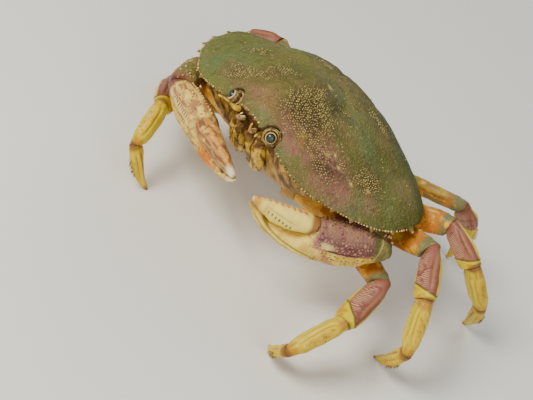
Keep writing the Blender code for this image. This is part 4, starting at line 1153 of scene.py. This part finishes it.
def make_tail():
    """The tail plate with the furrows between its joints."""
    piece = node_copy("tail_plate", quads=False)
    remesh(piece, 0.5, 6)
    by = points_of(piece)[:, 1] - PLACE[1]
    low = normals_of(piece)[:, 2] < -0.3
    seams = sum(furrow(by, middle, 0.8) for middle in (-8, -1, 7, 15, 23, 31)) * low
    raise_surface(piece, -0.7 * seams)
    store(piece, furrow=seams)
    finish(piece, underside_finish(), ["tail_plate"])


def make_mouth(material):
    """The two outer jaw plates, with the grooves between their parts."""
    for side, _ in SIDES:
        piece = node_copy(f"{side}_maxilliped", quads=False)
        remesh(piece, 0.4, 6)
        points = points_of(piece)
        bx, z = np.abs(points[:, 0] - PLACE[0]), points[:, 2]
        outer = furrow(bx, 8.2 + 0.4 * np.sin(z * 0.5), 0.5) * ramp(z, 57, 60)
        inner = furrow(bx, 4.2, 0.4) * (1 - ramp(z, 74, 77))
        joint = furrow(z, 69.5 + 1.2 * np.sin(bx * 0.9), 0.5)
        groove = outer + inner * 0.7 + joint * 0.35
        lines = wave(points * (1, 1, 0.3), 1.8, 52)
        raise_surface(piece, wave(points, 4, 51) * 0.15 + lines * 0.12 - 0.6 * groove)
        store(piece, groove=groove, top=ramp(z, 72.5, 76))
        finish(piece, material, [f"{side}_maxilliped"])


def make_eyes():
    """Round corneas on short stalks."""
    cornea, stalk = eye_finish(), stalk_finish()
    for side, sign in SIDES:
        piece = node_copy(f"{side}_eye")
        subdivide(piece, 1)
        points = points_of(piece)
        outward = unit(np.array([sign * 0.5, -0.68, 0.54]))
        middle = (points.min(axis=0) + points.max(axis=0)) / 2
        facing = (points - middle) @ outward / EYE_RADIUS
        store(piece, facing=facing * 0.5 + 0.5)
        finish(piece, cornea, [f"{side}_eye"])
        piece = node_copy(f"{side}_eyestalk")
        hold_edges(piece, SHARP, 0.5)
        subdivide(piece, 2)
        finish(piece, stalk, [f"{side}_eyestalk"])


def make_antennae(material):
    """The thick bases and thin lashes of the antennae."""
    for side, _ in SIDES:
        piece = node_copy(f"{side}_antenna")
        hold_edges(piece, 60, 0.4)
        subdivide(piece, 2)
        finish(piece, material, [f"{side}_antenna"])


def tube(name, path, radii, sides):
    """A round tapering tube along a path, closed at both ends."""
    points, faces = [], []
    for k, (centre, radius) in enumerate(zip(path, radii)):
        way = unit(path[min(k + 1, len(path) - 1)] - path[max(k - 1, 0)])
        points += ring_round(centre, way, (0.3, 0.2, 0.9), radius, sides)
    for k in range(len(path) - 1):
        for j in range(sides):
            a, b = k * sides + j, k * sides + (j + 1) % sides
            faces.append((a, b, b + sides, a + sides))
    faces.append(tuple(range(sides))[::-1])
    faces.append(tuple(range((len(path) - 1) * sides, len(path) * sides)))
    return new_piece(name, points, faces)


# The folded feeler: its root, its steps forwards and up from there, and its radius at each.
FEELER_ROOT = (5.2, -56.5, 83.0)
FEELER_STEPS = ((0, 3.5, -1.5), (0.2, 0, -1.2), (0.4, -2.6, -0.6), (0.3, -3.4, 1.2), (-0.4, -2.6, 3.0),
                (-1.0, -1.4, 4.0))
FEELER_RADII = (1.5, 1.5, 1.2, 0.9, 0.65, 0.35)


def make_feelers(material):
    """The small folded feelers under the brow."""
    for side, sign in SIDES:
        path = [(np.array(FEELER_ROOT) + step) * (sign, 1, 1) + PLACE for step in FEELER_STEPS]
        piece = tube(f"{side}_feeler", path, FEELER_RADII, 10)
        subdivide(piece, 2)
        finish(piece, material)


def make_orbits(material):
    """Two uneven rings round each eye, the wider one thinner and further out."""
    for side, sign in SIDES:
        outward = unit(np.array([sign * 0.35, -0.62, 0.7]))
        turn = np.array(Vector(outward).to_track_quat("Z", "X").to_matrix())
        for k, (major, minor, depth) in enumerate(((4.1, 0.42, -0.7), (4.9, 0.2, -0.3))):
            bpy.ops.object.select_all(action="DESELECT")
            bpy.ops.mesh.primitive_torus_add(major_radius=major * MM, minor_radius=minor * MM,
                                             major_segments=40, minor_segments=8)
            ring = bpy.context.object
            ring.name = f"{side}_orbit_{k}"
            points = points_of(ring) @ turn.T + eye_middle(sign) + outward * depth
            points += wave(points, 5, 61 + k)[:, None] * 0.16
            move_points(ring, points)
            finish(ring, material)


def jaw_bristles(side):
    """Roots, ways and lengths of the stiff hairs on the flanks of one jaw plate."""
    plate = bpy.data.objects[f"{side}_maxilliped_shell"]
    points, normals = points_of(plate), normals_of(plate)
    flanks = np.flatnonzero((np.abs(normals[:, 0]) > 0.75) & (normals[:, 1] < 0.3))
    picked = RNG.choice(flanks, JAW_BRISTLES, replace=False)
    outs = normals[picked] * 0.7 + np.array([0, -0.8, 0.2]) + RNG.normal(0, 0.2, (JAW_BRISTLES, 3))
    return points[picked], outs, RNG.uniform(0.9, 1.9, JAW_BRISTLES)


def make_bristles(bristles, material):
    """Short stiff hairs, each a thin three-sided stem that droops to a point."""
    points, faces = [], []
    for place, out, length in zip(*(np.concatenate(group) for group in zip(*bristles))):
        out = unit(out)
        base = len(points)
        for reach, radius in ((-0.2, 0.15), (0.6, 0.1)):
            centre = place + out * reach * length - UP * max(reach, 0) ** 2 * 0.2
            points += ring_round(centre, out, (0.3, 0.5, 0.8), radius, 3)
        points.append(place + out * length - UP * 0.35)
        faces.append((base + 2, base + 1, base))
        for j in range(3):
            k = (j + 1) % 3
            faces.append((base + j, base + k, base + 3 + k, base + 3 + j))
            faces.append((base + 3 + j, base + 3 + k, base + 6))
    points = np.array(points)
    points[:, 2] = np.maximum(points[:, 2], 0.02)
    finish(new_piece("bristles", points, faces), material)


# Studio


def make_floor():
    """A plain pale floor."""
    bpy.ops.object.select_all(action="DESELECT")
    bpy.ops.mesh.primitive_plane_add(size=6.0)
    floor = bpy.context.object
    floor.name = "floor"
    material = bpy.data.materials.new("floor_pale")
    material.use_nodes = True
    shader = material.node_tree.nodes["Principled BSDF"]
    shader.inputs["Base Color"].default_value = (0.8, 0.79, 0.75, 1)
    shader.inputs["Roughness"].default_value = 0.9
    floor.data.materials.append(material)


def make_light(name, place, target, size, watts, colour):
    """A square soft light aimed at a place."""
    light = bpy.data.lights.new(name, "AREA")
    light.size, light.energy, light.color = size, watts, colour
    lamp = bpy.data.objects.new(name, light)
    lamp.location = place
    lamp.rotation_mode = "QUATERNION"
    lamp.rotation_quaternion = (Vector(target) - Vector(place)).to_track_quat("-Z", "Y")
    bpy.context.scene.collection.objects.link(lamp)


def make_camera():
    """The photograph's viewpoint, tilted as the camera was held."""
    right, top = Vector(CAMERA_RIGHT), Vector(CAMERA_UP)
    camera = bpy.data.objects.new("camera", bpy.data.cameras.new("camera"))
    turn = Matrix((right, top, right.cross(top))).transposed()
    camera.rotation_mode = "QUATERNION"
    camera.rotation_quaternion = turn.to_quaternion()
    camera.location = Vector(CAMERA_PLACE) * MM
    camera.data.sensor_width = SENSOR_WIDTH
    camera.data.lens = CAMERA_FOCUS / PICTURE_WIDTH * SENSOR_WIDTH
    bpy.context.scene.collection.objects.link(camera)
    bpy.context.scene.camera = camera


def make_studio():
    """Floor, lights, pale surroundings and camera."""
    make_floor()
    make_light("key", (-0.25, -0.65, 0.85), (0, 0, 0.05), 0.45, 14, (1.0, 0.95, 0.85))
    make_light("fill", (0.9, -0.35, 0.6), (0, 0, 0.05), 0.7, 5, (1.0, 0.98, 0.94))
    make_light("back", (-0.2, 0.9, 0.7), (0, 0, 0.05), 0.7, 4, (0.96, 0.98, 1.0))
    world = bpy.data.worlds.new("studio")
    world.use_nodes = True
    world.node_tree.nodes["Background"].inputs["Color"].default_value = (0.8, 0.82, 0.84, 1)
    world.node_tree.nodes["Background"].inputs["Strength"].default_value = 0.3
    bpy.context.scene.world = world
    make_camera()


make_studio()
make_carapace()
make_granules()
make_rim_beads()
make_underbody()
make_tail()
jaw = mouth_finish()
make_mouth(jaw)
make_antennae(jaw)
make_eyes()

merus = merus_finish()
leg_finishes = {"merus": merus, "carpus": carpus_finish(), "propodus": propodus_finish(),
                "dactyl": dactyl_finish()}
bristles = []
for leg in LEG_JOINTS:
    bristles += make_leg(leg, leg_finishes)

arm_finishes = {"merus": merus, "carpus": wrist_finish()}
make_arm("left_claw", arm_finishes)
make_palm("left_claw", left_palm_finish())
make_finger("left_claw", left_finger_finish())
make_arm("right_claw", arm_finishes)
make_palm("right_claw", right_palm_finish())
make_finger("right_claw", right_finger_finish())
mauve_bead = plain_finish("left_bead_mauve", (0.34, 0.18, 0.1), (0.52, 0.32, 0.15), 3)
make_hand_beads("left_claw", 0.75, mauve_bead)
gold_bead = plain_finish("right_bead_gold", (0.75, 0.52, 0.18), (0.6, 0.25, 0.06), 3)
make_hand_beads("right_claw", 1.25, gold_bead)
spine = plain_finish("spine_ochre", (0.62, 0.48, 0.2), (0.3, 0.2, 0.07), 3)
for claw in CLAW_JOINTS:
    make_wrist_spines(claw, spine)

make_feelers(plain_finish("feeler_cream", (0.72, 0.55, 0.22), (0.3, 0.15, 0.04), 2.5))
make_orbits(plain_finish("orbit_cream", (0.5, 0.36, 0.13), (0.13, 0.065, 0.02), 2.2))
for side, _ in SIDES:
    bristles.append(jaw_bristles(side))
make_bristles(bristles, plain_finish("bristle_brown", (0.3, 0.17, 0.05), (0.16, 0.08, 0.02), 5))
